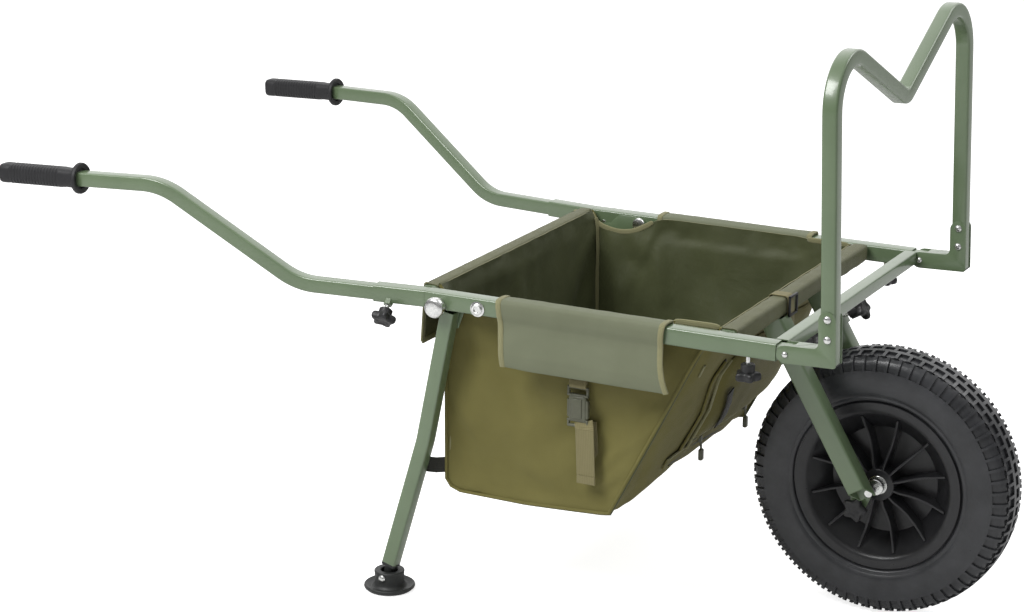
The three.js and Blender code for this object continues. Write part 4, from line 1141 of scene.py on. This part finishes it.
bag = {
    "halfWidth": 0.250, "upCells": (18, 10), "upSplit": 0.80, "runCells": 32, "acrossCells": 40,
    "rear": [(-0.5840, 0.1670), (-0.5920, 0.1770), (-0.5920, 0.4460), (-0.5950, 0.4620), (-0.6020, 0.4730)],
    "bottom": [(-0.5840, 0.1670), (-0.5680, 0.1615), (-0.4600, 0.1615), (-0.3400, 0.1680), (-0.3260, 0.1700)],
    "front": [(-0.3260, 0.1700), (-0.2095, 0.3980), (-0.1900, 0.4340), (-0.1740, 0.4480), (-0.1640, 0.4570),
              (-0.1606, 0.4720)],
    "top": [(-0.6020, 0.4730), (-0.5960, 0.4575), (-0.5790, 0.4490), (-0.5560, 0.4450), (-0.5330, 0.4465),
            (-0.5100, 0.4560), (-0.4970, 0.4650), (-0.4860, 0.4725), (-0.2280, 0.4725), (-0.1700, 0.4735),
            (-0.1606, 0.4720)],
    "lift": 0.0093, "liftFrom": 0.436, "liftTo": 0.452, "liftRear": -0.486, "liftFront": -0.228,
    "wall": 0.0016, "bulge": 0.004, "cap": 0.005, "frames": 20, "roll": 0.007, "rollScale": 9.5,
    "fadeOver": 0.035, "fadeFrom": 0.468, "pinnedFrom": 0.4705, "seamCrease": 0.9,
    "folds": {
        "both": [((-0.370, 0.395), (-0.360, 0.230), 0.045, 0.0090)],
        "right": [
            ((-0.527, 0.374), (-0.466, 0.296), 0.011, 0.0125),
            ((-0.560, 0.400), (-0.548, 0.330), 0.013, 0.009),
            ((-0.535, 0.345), (-0.500, 0.280), 0.016, -0.005),
            ((-0.500, 0.380), (-0.440, 0.320), 0.014, -0.006),
            ((-0.430, 0.255), (-0.310, 0.335), 0.018, 0.007),
            ((-0.530, 0.260), (-0.450, 0.190), 0.024, 0.007),
            ((-0.335, 0.215), (-0.270, 0.330), 0.016, -0.005),
            ((-0.400, 0.200), (-0.350, 0.230), 0.018, 0.005)],
        "left": [
            ((-0.560, 0.430), (-0.545, 0.290), 0.011, -0.007),
            ((-0.522, 0.435), (-0.500, 0.300), 0.012, 0.008),
            ((-0.490, 0.455), (-0.538, 0.345), 0.011, -0.009),
            ((-0.480, 0.445), (-0.478, 0.290), 0.012, 0.008),
            ((-0.462, 0.440), (-0.425, 0.330), 0.013, 0.007),
            ((-0.400, 0.400), (-0.330, 0.300), 0.018, -0.005),
            ((-0.300, 0.440), (-0.270, 0.330), 0.014, 0.004)],
    },
    "cloth": {
        "quality": 6, "mass": 0.3, "tension_stiffness": 30, "compression_stiffness": 12,
        "shear_stiffness": 8, "bending_stiffness": 1.2, "shrink_min": -0.012,
    },
}


def flat(points):
    return [(x, 0, z) for x, z in points]


# A side wall's points between its four edges, lifted out over the rail where the flap hangs
def sideSpots(sign, up):
    run = evenly(bag["runCells"])
    rear, front = resample(flat(bag["rear"]), up), resample(flat(bag["front"]), up)
    low, top = resample(flat(bag["bottom"]), run), resample(flat(bag["top"]), run)
    spots = {}
    for i, u in enumerate(run):
        for j, v in enumerate(up):
            spot = low[i] * (1 - v) + top[i] * v + rear[j] * (1 - u) + front[j] * u
            spot -= low[0] * (1 - u) * (1 - v) + low[-1] * u * (1 - v) \
                + top[0] * (1 - u) * v + top[-1] * u * v
            rise = (spot.z - bag["liftFrom"]) / (bag["liftTo"] - bag["liftFrom"])
            within = min(spot.x - bag["liftRear"], bag["liftFront"] - spot.x) / 0.014
            lift = bag["lift"] * min(1, max(0, rise)) * min(1, max(0, within))
            soft = math.sin(math.pi * u) * math.sin(math.pi * min(1, v * 1.1))
            spots[i, j] = Vector((spot.x, sign * (bag["halfWidth"] + lift + bag["bulge"] * soft), spot.z))
    return spots


def addBag():
    first, second = bag["upCells"]
    split = bag["upSplit"]
    levels = [split * i / first for i in range(first)]
    levels += [split + (1 - split) * i / second for i in range(second + 1)]
    up, run, across = len(levels) - 1, bag["runCells"], bag["acrossCells"]
    rear, front = resample(flat(bag["rear"]), levels), resample(flat(bag["front"]), levels)
    strip = rear[::-1] + resample(flat(bag["bottom"]), evenly(run))[1:] + front[1:]
    reach = lengths(strip)
    total = len(strip) - 1

    def stripSpot(i, j):
        spot = strip[i].copy()
        y = bag["halfWidth"] * (2 * j / across - 1)
        way = strip[min(i + 1, total)] - strip[max(i - 1, 0)]
        out = Vector((way.z, 0, -way.x)).normalized()
        middle = 1 - (y / bag["halfWidth"]) ** 4
        ends = min(1, i / 10, (total - i) / 8)
        pleat = 0
        if i < up:
            pleat = 0.007 * noise.noise(Vector((y * 24, i * 0.11, 5))) \
                * min(1, i / 5) * max(0.25, 1 - i / 17)
        spot += out * (bag["bulge"] * 1.2 * middle * ends + pleat * middle)
        return Vector((spot.x, y, spot.z))

    parts = [clothGrid("bagStrip", total, across, stripSpot,
                       lambda i, j: (2 * bag["halfWidth"] * j / across, reach[i]))]
    for side, sign in bothSides:
        spots = sideSpots(sign, levels)
        parts.append(clothGrid("bagSide", run, up, lambda i, j: spots[i, j],
                               lambda i, j: (spots[i, j].x, spots[i, j].z)))
    shell = joinPieces(parts, "bagShell")
    startEdit(shell, "VERT")
    pickAll()
    bpy.ops.mesh.remove_doubles(threshold=0.0004)
    bpy.ops.mesh.normals_make_consistent(inside=False)
    endEdit()
    shell.location = at(0, 0, 0)
    settle(shell)

    places = KDTree(len(shell.data.vertices))
    for vertex in shell.data.vertices:
        places.insert(vertex.co, vertex.index)
    places.balance()
    edges = {}

    def nearest(spot):
        return places.find(at(*spot))[1]

    for side, sign in bothSides:
        y = sign * bag["halfWidth"]
        edges["seam", side] = [nearest((p.x, y, p.z)) for p in strip]
        edges["top", side] = [nearest(sideSpots(sign, [0, 1])[i, 1]) for i in range(run + 1)]
    pinned = {i for key, chain in edges.items() if key[0] == "top" for i in chain}
    pinned |= {v.index for v in shell.data.vertices if v.co.z > bag["pinnedFrom"]}
    seams = {i for key, chain in edges.items() if key[0] == "seam" for i in chain}
    sagCloth(shell, sorted(pinned | seams))
    addFolds(shell, sorted(seams))
    chains = {key: [shell.data.vertices[i].co.copy() for i in chain] for key, chain in edges.items()}

    crease = shell.data.attributes.new("crease_edge", "FLOAT", "EDGE")
    for edge in shell.data.edges:
        crease.data[edge.index].value = bag["seamCrease"] if set(edge.vertices) <= seams else 0
    smoothed(shell)
    ripple(shell, 0.0009, 31, 3)
    for each in (bagCanvas, lining, bindingTape):
        shell.data.materials.append(each)
    modifier = shell.modifiers.new("wall", "SOLIDIFY")
    modifier.thickness = bag["wall"]
    modifier.offset = -1
    modifier.material_offset = 1
    modifier.material_offset_rim = 2
    applyModifiers(shell)
    handOver(shell, None, "frame", "bag", 60)
    return shell, chains


# Presses the side walls in and out along their folds, and ripples the rest, away from the seams
def addFolds(shell, seams):
    tree = KDTree(len(seams))
    for i in seams:
        tree.insert(shell.data.vertices[i].co, i)
    tree.balance()
    for vertex in shell.data.vertices:
        place = vertex.co - at(0, 0, 0)
        fade = min(1, tree.find(vertex.co)[2] / bag["fadeOver"])
        fade *= min(1, max(0, (bag["fadeFrom"] - place.z) / 0.03))
        fade = fade * fade * (3 - 2 * fade)
        shift = vertex.normal * (bag["roll"] * noise.noise(vertex.co * bag["rollScale"]) * fade)
        if abs(vertex.normal.y) > 0.7:
            own = bag["folds"]["left" if place.y > 0 else "right"]
            inward = foldDepth(place.x, place.z, bag["folds"]["both"] + own)
            shift.y -= math.copysign(inward * fade, place.y)
        vertex.co += shift
    shell.data.update()


def sagCloth(piece, pinned):
    start = [v.co.copy() for v in piece.data.vertices]
    group = piece.vertex_groups.new(name="pinned")
    group.add(pinned, 1, "REPLACE")
    modifier = piece.modifiers.new("sag", "CLOTH")
    for name, value in bag["cloth"].items():
        setattr(modifier.settings, name, value)
    modifier.settings.vertex_group_mass = "pinned"
    modifier.collision_settings.use_collision = False
    for step in range(1, bag["frames"] + 1):
        bpy.context.scene.frame_set(step)
    applyModifiers(piece)
    bpy.context.scene.frame_set(1)
    for vertex, origin in zip(piece.data.vertices, start):
        moved = vertex.co - origin
        if moved.length > bag["cap"]:
            vertex.co = origin + moved * (bag["cap"] / moved.length)
    piece.vertex_groups.clear()


# Seams, bindings and sleeves of the bag

# Some of these sizes place a thin dark tube just outside the piping, which paints the shade along the seam
sewing = {
    "piping": 0.0024, "pipingOut": 0.0013, "edge": 0.0015, "shadeLineOut": 0.0026, "shadeLineIn": 0.0012,
    "middle": (-0.40, 0, 0.32), "binding": (0.0085, 0.0036), "bindingIn": 0.0008, "bindingRise": 0.003,
    "bindings": (("rear", -0.606, -0.478), ("front", -0.2355, -0.154)),
    "cornerTape": (0.0060, 0.0024), "cornerIn": 0.0036, "cornerWander": 0.002, "wanderScale": 26,
    "ridge": 0.0011, "ridgeShift": (0.0006, 0.010, -0.0003),
    "sleeves": {
        "rearSleeve": {"x": -0.614, "z": 0.462, "size": 0.0246},
        "frontSleeve": {"x": -0.147, "z": 0.461, "size": 0.0266},
    },
    "sleeveEnd": 0.2552, "sleeveCorner": 0.0058, "sleeveWall": 0.0014,
    "notch": (-0.187, -0.107, 0.0692, 0.1048, 0.400, 0.4500),
}


def circle(radius, sides=8):
    return arc(0, 0, radius, 0, math.tau, sides)[:-1]


def addSewing(chains):
    middle = at(*sewing["middle"])
    for side, sign in bothSides:
        seam, top = chains["seam", side], chains["top", side]
        shift = Vector((0, sign * sewing["pipingOut"], 0))
        pipe = drawnPiece(f"bagPiping_{side}", [p + shift for p in seam], circle(sewing["piping"]), (0, 1, 0))
        sewn(pipe, bagCanvas, 35)
        # A thin tube of the dark lining cloth just outside the piping paints the shade along the seam
        shift = Vector((0, sign * sewing["shadeLineIn"], 0))
        edge = [p + Vector((p.x - middle.x, 0, p.z - middle.z)).normalized() * sewing["shadeLineOut"] - shift
                for p in seam]
        sewn(drawnPiece(f"bagSeamShadeLine_{side}", edge, circle(sewing["edge"], 6), (0, 1, 0)), lining, 35)
        width, depth = sewing["binding"]
        shift = Vector((0, -sign * sewing["bindingIn"], -width / 2 + sewing["bindingRise"]))
        for name, low, high in sewing["bindings"]:
            path = [p + shift for p in top if low <= p.x - wheelX <= high]
            tape = drawnPiece(f"bagBinding_{name}_{side}", path, roundedBox(depth, width, 0.0015), (0, 1, 0))
            sewn(smoothed(tape), bindingTape, 50)
        up = len(seam) - 1 - bag["runCells"]
        inside = Vector((sewing["cornerIn"], -sign * sewing["cornerIn"], 0))
        wander = Vector((sewing["cornerWander"], -sign * sewing["cornerWander"], 0))
        path = [p + wander * noise.noise(Vector((0, 4 * sign, p.z * sewing["wanderScale"]))) + inside
                for p in seam[2:up - 2]]
        tape = drawnPiece(f"bagCorner_{side}", path, roundedBox(*sewing["cornerTape"], 0.0009), (1, sign, 0))
        sewn(tape, bindingTape, 50)
        x, y, z = sewing["ridgeShift"]
        path = [p + Vector((x, -sign * y, z)) for p in seam[-up:-9]]
        sewn(drawnPiece(f"bagRidge_{side}", path, circle(sewing["ridge"], 6), (0, 1, 0)), bagCanvas, 35)

    for name, sleeve in sewing["sleeves"].items():
        size, end = sleeve["size"], sewing["sleeveEnd"]
        stations = [at(sleeve["x"], -end + 2 * end * k, sleeve["z"]) for k in evenly(56)]
        outline = roundedBox(size, size, sewing["sleeveCorner"], 3)
        tube = drawnPiece(name, stations, outline, (1, 0, 0), capped=False)
        ripple(tube, 0.0011, 62, 4)
        giveWall(tube, sewing["sleeveWall"])
        if name == "frontSleeve":
            x0, x1, y0, y1, z0, z1 = sewing["notch"]
            for sign in (-1, 1):
                ys = sorted((sign * y0, sign * y1))
                cutWith(tube, boxPiece("notch", at(x0, ys[0], z0), at(x1, ys[1], z1), 0))
        sewn(tube, sleeveCanvas, 60)


# Flaps over the rails, with their bindings, straps and buckles

flap = {
    "rear": -0.489, "front": -0.228, "flare": 0.011, "thickness": 0.0015, "cells": (30, 44),
    "fallFrom": 0.4728, "fallOver": 0.093, "outside": 0.2864, "rearCurl": 0.009, "frontCurl": 0.004,
    "wave": 0.0022, "cornerOut": 0.003, "droop": 0.003,
    "path": [(0.2606, 0.4520), (0.2606, 0.4718), (0.2614, 0.4734), (0.2632, 0.4746), (0.2740, 0.4756),
             (0.2862, 0.4752), (0.2890, 0.4742), (0.2908, 0.4718), (0.2915, 0.4650), (0.2904, 0.4540),
             (0.2878, 0.4440), (0.2882, 0.4340), (0.2908, 0.4180), (0.2930, 0.4000), (0.2924, 0.3880),
             (0.2906, 0.3795)],
    "tape": (0.0088, 0.0038, 0.0016), "tapes": (("rear", 0.012), ("front", 0.985)), "hems": 0.006,
}


# A place on a side flap, by its share along the rail and the point of the path that it hangs through
def flapSpot(sign, share, point, depth):
    y, z = point
    fall = max(0, min(1, (flap["fallFrom"] - z) / flap["fallOver"])) if y > flap["outside"] else 0
    x = flap["rear"] + (flap["front"] - flap["rear"]) * share + flap["flare"] * fall ** 2 * share ** 3
    x += flap["rearCurl"] * fall * (1 - share) ** 3
    x -= flap["frontCurl"] * math.sin(math.pi * fall) * share ** 3
    wave = flap["wave"] * fall * math.sin(share * 7.3 + 0.8) + flap["cornerOut"] * fall * share ** 4
    droop = -flap["droop"] * fall * math.sin(math.pi * share)
    return at(x, sign * (y + wave + depth), z + droop)


def addFlaps():
    across, down = flap["cells"]
    path = [(p.y, p.z) for p in resample([(0, y, z) for y, z in flap["path"]], evenly(down))]
    reach = lengths([(0, y, z) for y, z in path])
    span = flap["front"] - flap["rear"]
    for side, sign in bothSides:
        cloth = clothGrid(f"railFlap_{side}", across, down,
                          lambda i, j: flapSpot(sign, i / across, path[j], 0),
                          lambda i, j: (span * i / across, reach[j]))
        facesOut(cloth)
        ripple(cloth, 0.0010, 38, 7)
        giveWall(cloth, flap["thickness"], 0)
        smoothed(cloth)
        handOver(cloth, flapCanvas, "frame", f"side_flap_{side}", 60)
        for end, share in flap["tapes"]:
            stations = [flapSpot(sign, share, p, 0.0001) for p in path]
            tape = drawnPiece(f"flapBinding_{end}_{side}", stations, roundedBox(*flap["tape"]), (1, 0, 0))
            sewn(tape, bindingTape, 50)


# Each piece holds how much wider it is than the webbing, and points of [x, face, out, z]. A face is the wall
# behind the buckle, the plane that the buckle stands in, or the wall lower down.
strap = {
    "width": 0.028, "thickness": 0.0015, "stand": 0.0030, "lowWall": (-0.3590, 0.27),
    "wall": [(x, z) for x in (-0.382, -0.370, -0.358) for z in (0.30, 0.34, 0.38)],
    "pieces": {
        "upperStrap": (-0.001, [(-0.3725, "wall", 0, 0.402), (-0.3725, "wall", 0.001, 0.372),
                                (-0.3725, "buckle", 0.0005, 0.3600)]),
        "strapLoop": (-0.001, [(-0.3725, "buckle", 0.0030, 0.3545), (-0.3725, "buckle", 0.0048, 0.3590),
                               (-0.3725, "buckle", 0.0035, 0.3650), (-0.3725, "wall", 0.0022, 0.3730),
                               (-0.3725, "wall", 0.0020, 0.3900)]),
        "tailStrap": (0.001, [(-0.3635, "buckle", 0.0020, 0.3060), (-0.3605, "buckle", 0.0048, 0.2960),
                              (-0.3600, "buckle", 0.0040, 0.2780), (-0.3590, "buckle", 0.0030, 0.2460),
                              (-0.3580, "buckle", 0.0016, 0.2125)]),
        "strapHem": (0.0006, [(-0.3580, "buckle", 0.0034, 0.2245), (-0.3580, "buckle", 0.0032, 0.2127)]),
        "underStrap": (-0.002, [(-0.3650, "low", 0, 0.300), (-0.3620, "low", 0.0006, 0.270),
                                (-0.3600, "low", 0.0004, 0.235)]),
    },
}

# Blocks of [inset, limb, low, high, front, back, rounding]: one with a limb is two posts of that width, and
# front and back are shares of the depth
sideBuckle = {
    "x": -0.3725, "half": 0.01675, "depth": 0.0095,
    "blocks": [
        (0.003, None, 0.3060, 0.3435, 0.62, -0.38, 0.0026),
        (0.009, None, 0.3100, 0.3395, 0.78, 0, 0.0012),
        (0, 0.0055, 0.3100, 0.3375, 0.48, -0.26, 0.0018),
        (0, None, 0.3535, 0.3573, 0.42, -0.05, 0.0014),
        (0, 0.0036, 0.3415, 0.3565, 0.40, -0.12, 0.0014),
        (0, None, 0.3420, 0.3460, 0.50, -0.12, 0.0014),
        (0, None, 0.2960, 0.3002, 0.42, -0.12, 0.0015),
        (0, 0.0036, 0.2970, 0.3080, 0.42, -0.16, 0.0014),
        (0, None, 0.3045, 0.3085, 0.50, -0.16, 0.0014),
    ],
}


def strapPiece(name, points, width, thickness, sign):
    stations = resample([at(x, sign * y, z) for x, y, z in points], evenly(36))
    return drawnPiece(name, stations, roundedBox(width, thickness, thickness * 0.45, 1), (1, 0, 0))


# The outermost place of the bag's wall on a line across the trolley
def wallReach(shell, sign, x, z):
    hit, place, normal, face = shell.ray_cast(at(x, sign * 0.4, z), (0, -sign, 0))
    return abs(place.y) if hit else bag["halfWidth"]


def addStraps(shell):
    thickness = strap["thickness"]
    for side, sign in bothSides:
        wall = max(wallReach(shell, sign, x, z) for x, z in strap["wall"]) + thickness / 2
        low = wallReach(shell, sign, *strap["lowWall"]) + thickness / 2
        faces = {"wall": wall, "buckle": wall + strap["stand"], "low": low}
        bands = []
        for name, (wider, points) in strap["pieces"].items():
            spots = [(x, faces[face] + out, z) for x, face, out, z in points]
            bands.append(strapPiece(name, spots, strap["width"] + wider, thickness, sign))
        whole = joinPieces(bands, f"sideStrap_{side}_webbing")
        handOver(whole, oliveWebbing, "frame", f"side_strap_{side}", 40)
        handOver(buckle(f"sideBuckle_{side}_body", sign, faces["buckle"]), bucklePlastic, "frame",
                 f"side_buckle_{side}", 40)


def buckle(name, sign, y):
    x, depth = sideBuckle["x"], sideBuckle["depth"]
    parts = []
    for inset, limb, low, high, front, back, rounding in sideBuckle["blocks"]:
        half = sideBuckle["half"] - inset
        ys = sorted(sign * (y + depth * share) for share in (front, back))
        for x0, x1 in ((-half, limb - half), (half - limb, half)) if limb else ((-half, half),):
            corners = at(x + x0, ys[0], low), at(x + x1, ys[1], high)
            parts.append(boxPiece("buckleBlock", *corners, rounding, 3))
    return joinPieces(parts, name)


# Rear flap, tethers, and the zips and loop on the front

rearFlap = {
    "width": 0.491, "fall": 0.0905, "cells": (40, 10), "x": -0.6283, "top": 0.4715, "lean": 0.0020,
    "wave": 0.0022, "cornerIn": 0.004, "sway": 0.0018, "thickness": 0.0015, "tape": (0.0034, 0.009, 0.0014),
}
tether = {
    "width": 0.024, "thickness": 0.0016,
    "points": [(-0.5890, 0.2480, 0.1985), (-0.5955, 0.2530, 0.1987), (-0.6040, 0.2600, 0.1988),
               (-0.6150, 0.2628, 0.1990), (-0.6400, 0.2632, 0.1995)],
}

# Places on the front wall are [y, along, out]: across, up the slope from the toe, and off the cloth
frontSew = {
    "toe": (-0.326, 0.170), "shin": (-0.2095, 0.398),
    "opening": [(-0.100, 0.236), (-0.115, 0.215), (-0.112, 0.200), (-0.102, 0.173), (-0.091, 0.145),
                (-0.091, 0.120), (-0.092, 0.071)],
    "besideOpening": {
        # The black tape under the lips of the pouch's side opening paints the shade in that gap
        "openingShadeTape": (-0.004, 0.0008, 0.013, 0.002, blackWebbing),
        "zipLipNear": (-0.012, 0.0035, 0.011, 0.0034, bagCanvas),
        "zipLipFar": (0.006, 0.0060, 0.004, 0.0040, bindingTape),
    },
    "acrossToe": {
        "bandTapeLow": (-0.114, 0.34, 0.050, 0.0008, 0.012, 0.002, blackWebbing),
        "bandCoverLow": (-0.150, 0.38, 0.062, 0.0028, 0.018, 0.0022, bagCanvas),
        "bandEdgeLow": (-0.150, 0.38, 0.0712, 0.0040, 0.003, 0.003, bindingTape),
    },
    "stitch": [(-0.223, 0.268 - 0.020 * k, 0.0012) for k in evenly(3)],
    "strap": [(-0.058, 0.176, 0.0175), (-0.046, 0.150, 0.0190), (-0.034, 0.125, 0.0185),
              (-0.024, 0.100, 0.0165)],
}
pouch = {
    "cells": (26, 22), "y": (-0.084, 0.232), "along": (0.078, 0.250), "lift": 0.0010, "rise": 0.015,
    "cornerDrop": 0.035, "wall": 0.0016,
}
zipPull = {
    "places": {"zipPullNear": (-0.014, 0.058), "zipPullFar": (0.135, 0.070)}, "out": 0.0045,
    "slider": (0.004, 0.004, 0.005), "cordTop": (0.002, 0, -0.002), "cordBend": (0.003, 0, -0.010),
    "cordEnd": (0, 0.001, -0.007), "cordRadius": 0.0019,
    "tagFrom": (-0.0034, -0.0046, -0.017), "tagTo": (0.0034, 0.0046, 0.001),
}
sleeveLoop = {
    "y": -0.066, "width": 0.020, "half": 0.0148, "corner": 0.005, "thickness": 0.0015, "tailWidth": 0.019,
    "tail": [(-0.1318, 0.470), (-0.1300, 0.452), (-0.1290, 0.425), (-0.1330, 0.398)],
    "ringX": (-0.1300, -0.1262),
    "ring": [(-0.015, 0.015, 0.474, 0.4775), (-0.015, 0.015, 0.447, 0.4505),
             (-0.015, -0.0115, 0.447, 0.4775), (0.0115, 0.015, 0.447, 0.4775)],
}


def onFront(y, along, out):
    (x0, z0), (x1, z1) = frontSew["toe"], frontSew["shin"]
    run = Vector((x1 - x0, z1 - z0)).normalized()
    forward = Vector((run.y, 0, -run.x))
    place = at(x0 + run.x * along, y, z0 + run.y * along)
    hit, spot, normal, face = bagShell.ray_cast(place + forward * 0.06, -forward)
    return (spot if hit else place) + forward * out


def addRearFlap():
    width, drop = rearFlap["width"], rearFlap["fall"]
    across, down = rearFlap["cells"]

    def place(i, j):
        y = width * (i / across - 0.5)
        fall = j / down
        wave = rearFlap["wave"] * fall * math.sin(y * 38 + 0.6)
        wave -= rearFlap["cornerIn"] * fall * abs(2 * y / width) ** 6
        z = rearFlap["top"] - drop * fall + rearFlap["sway"] * fall * math.sin(y * 23)
        return at(rearFlap["x"] - rearFlap["lean"] * fall + wave * 0.8, y, z)

    cloth = clothGrid("rearFlap", across, down, place, lambda i, j: (width * i / across, drop * j / down))
    facesOut(cloth)
    giveWall(cloth, rearFlap["thickness"], 0)
    smoothed(cloth)
    sewn(cloth, sleeveCanvas, 60)
    rows = {"low": [(i, down) for i in range(across + 1)]}
    for name, i in (("right", 0), ("left", across)):
        rows[name] = [(i, j) for j in range(down + 1)]
    for name, cells in rows.items():
        stations = [place(*cell) for cell in cells]
        tape = drawnPiece(f"rearFlapBinding_{name}", stations, roundedBox(*rearFlap["tape"]), (1, 0, 0))
        sewn(tape, bindingTape, 50)


def addTethers():
    for side, sign in bothSides:
        stations = resample([at(x, sign * y, z) for x, y, z in tether["points"]], evenly(20))
        outline = roundedBox(tether["thickness"], tether["width"], 0.0006, 1)
        sewn(drawnPiece(f"tether_{side}", stations, outline, (0, 1, 0)), blackWebbing, 40)


def frontBand(name, points, width, thickness, material, hint=None):
    stations = resample([onFront(*p) for p in points], evenly(40))
    y, along, out = points[0]
    hint = hint or onFront(y, along + 0.01, out) - onFront(y, along, out)
    outline = roundedBox(width, thickness, min(width, thickness) * 0.4, 2)
    sewn(drawnPiece(name, stations, outline, hint), material, 40)


def addFrontBands():
    sideways = (0, 1, 0)
    for name, (shift, out, width, thickness, material) in frontSew["besideOpening"].items():
        points = [(y + shift, along, out) for y, along in frontSew["opening"]]
        frontBand(name, points, width, thickness, material, sideways)
    for name, (start, span, along, out, width, thickness, material) in frontSew["acrossToe"].items():
        points = [(start + span * k, along, out) for k in evenly(12)]
        frontBand(name, points, width, thickness, material)
    frontBand("cornerStitch", frontSew["stitch"], 0.006, 0.0022, bindingTape, sideways)
    frontBand("frontStrap", frontSew["strap"], 0.018, 0.002, blackWebbing, sideways)


def addPouch():
    across, rows = pouch["cells"]
    (y0, y1), (s0, s1) = pouch["y"], pouch["along"]

    def panel(i, j):
        u, v = i / across, j / rows
        edges = min(1, 5.5 * min(u, 1 - u)) ** 0.5 * min(1, 6 * v) ** 0.5 * min(1, 5 * (1 - v)) ** 0.5
        corner = pouch["cornerDrop"] * max(0, 0.22 - u) / 0.22 * max(0, v - 0.7) / 0.3
        return onFront(y0 + (y1 - y0) * u, s0 + (s1 - s0) * v - corner, pouch["lift"] + pouch["rise"] * edges)

    cloth = clothGrid("frontPouch", across, rows, panel,
                      lambda i, j: ((y1 - y0) * i / across, (s1 - s0) * j / rows))
    facesOut(cloth)
    ripple(cloth, 0.0026, 24, 2)
    giveWall(cloth, pouch["wall"], 0)
    smoothed(cloth)
    sewn(cloth, bagCanvas, 60)


def addZipPulls():
    for name, (y, along) in zipPull["places"].items():
        top = onFront(y, along, zipPull["out"])
        size = Vector(zipPull["slider"])
        slider = boxPiece("zipSlider", top - size, top + size, 0.0016)
        low = top + Vector(zipPull["cordBend"])
        end = low + Vector(zipPull["cordEnd"])
        path = resample([top + Vector(zipPull["cordTop"]), low, end], evenly(10))
        cord = drawnPiece("zipCord", path, circle(zipPull["cordRadius"]), (0, 1, 0))
        tag = boxPiece("zipTag", end + Vector(zipPull["tagFrom"]), end + Vector(zipPull["tagTo"]), 0.0022, 3)
        sewn(joinPieces([slider, cord, tag], name), bucklePlastic, 40)


def addSleeveLoop():
    sleeve = sewing["sleeves"]["frontSleeve"]
    y, corner, thickness = sleeveLoop["y"], sleeveLoop["corner"], sleeveLoop["thickness"]
    reach = sleeveLoop["half"] - corner
    ring = arc(reach, reach, corner, 0, math.pi / 2, 4)
    ring += [(-x, z) for x, z in reversed(ring)]
    ring += [(-x, -z) for x, z in ring]
    stations = [at(sleeve["x"] + x, y, sleeve["z"] + z) for x, z in ring + ring[:1]]
    outline = roundedBox(sleeveLoop["width"], thickness, 0.0006, 1)
    band = drawnPiece("sleeveBand", stations, outline, (0, 1, 0))
    path = resample([at(x, y, z) for x, z in sleeveLoop["tail"]], evenly(14))
    outline = roundedBox(sleeveLoop["tailWidth"], thickness, 0.0006, 1)
    tail = drawnPiece("sleeveTail", path, outline, (0, 1, 0))
    sewn(joinPieces([band, tail], "sleeveLoop"), oliveWebbing, 40)
    x0, x1 = sleeveLoop["ringX"]
    bars = [boxPiece("ringBar", at(x0, y + y0, z0), at(x1, y + y1, z1), 0.0012, 2)
            for y0, y1, z0, z1 in sleeveLoop["ring"]]
    sewn(joinPieces(bars, "sleeveRing"), knobPlastic, 40)


bagShell, seams = addBag()
addSewing(seams)
print("bag ready")
addFlaps()
addStraps(bagShell)
addRearFlap()
addTethers()
addFrontBands()
addPouch()
addZipPulls()
addSleeveLoop()
print("flaps, straps and zips ready")
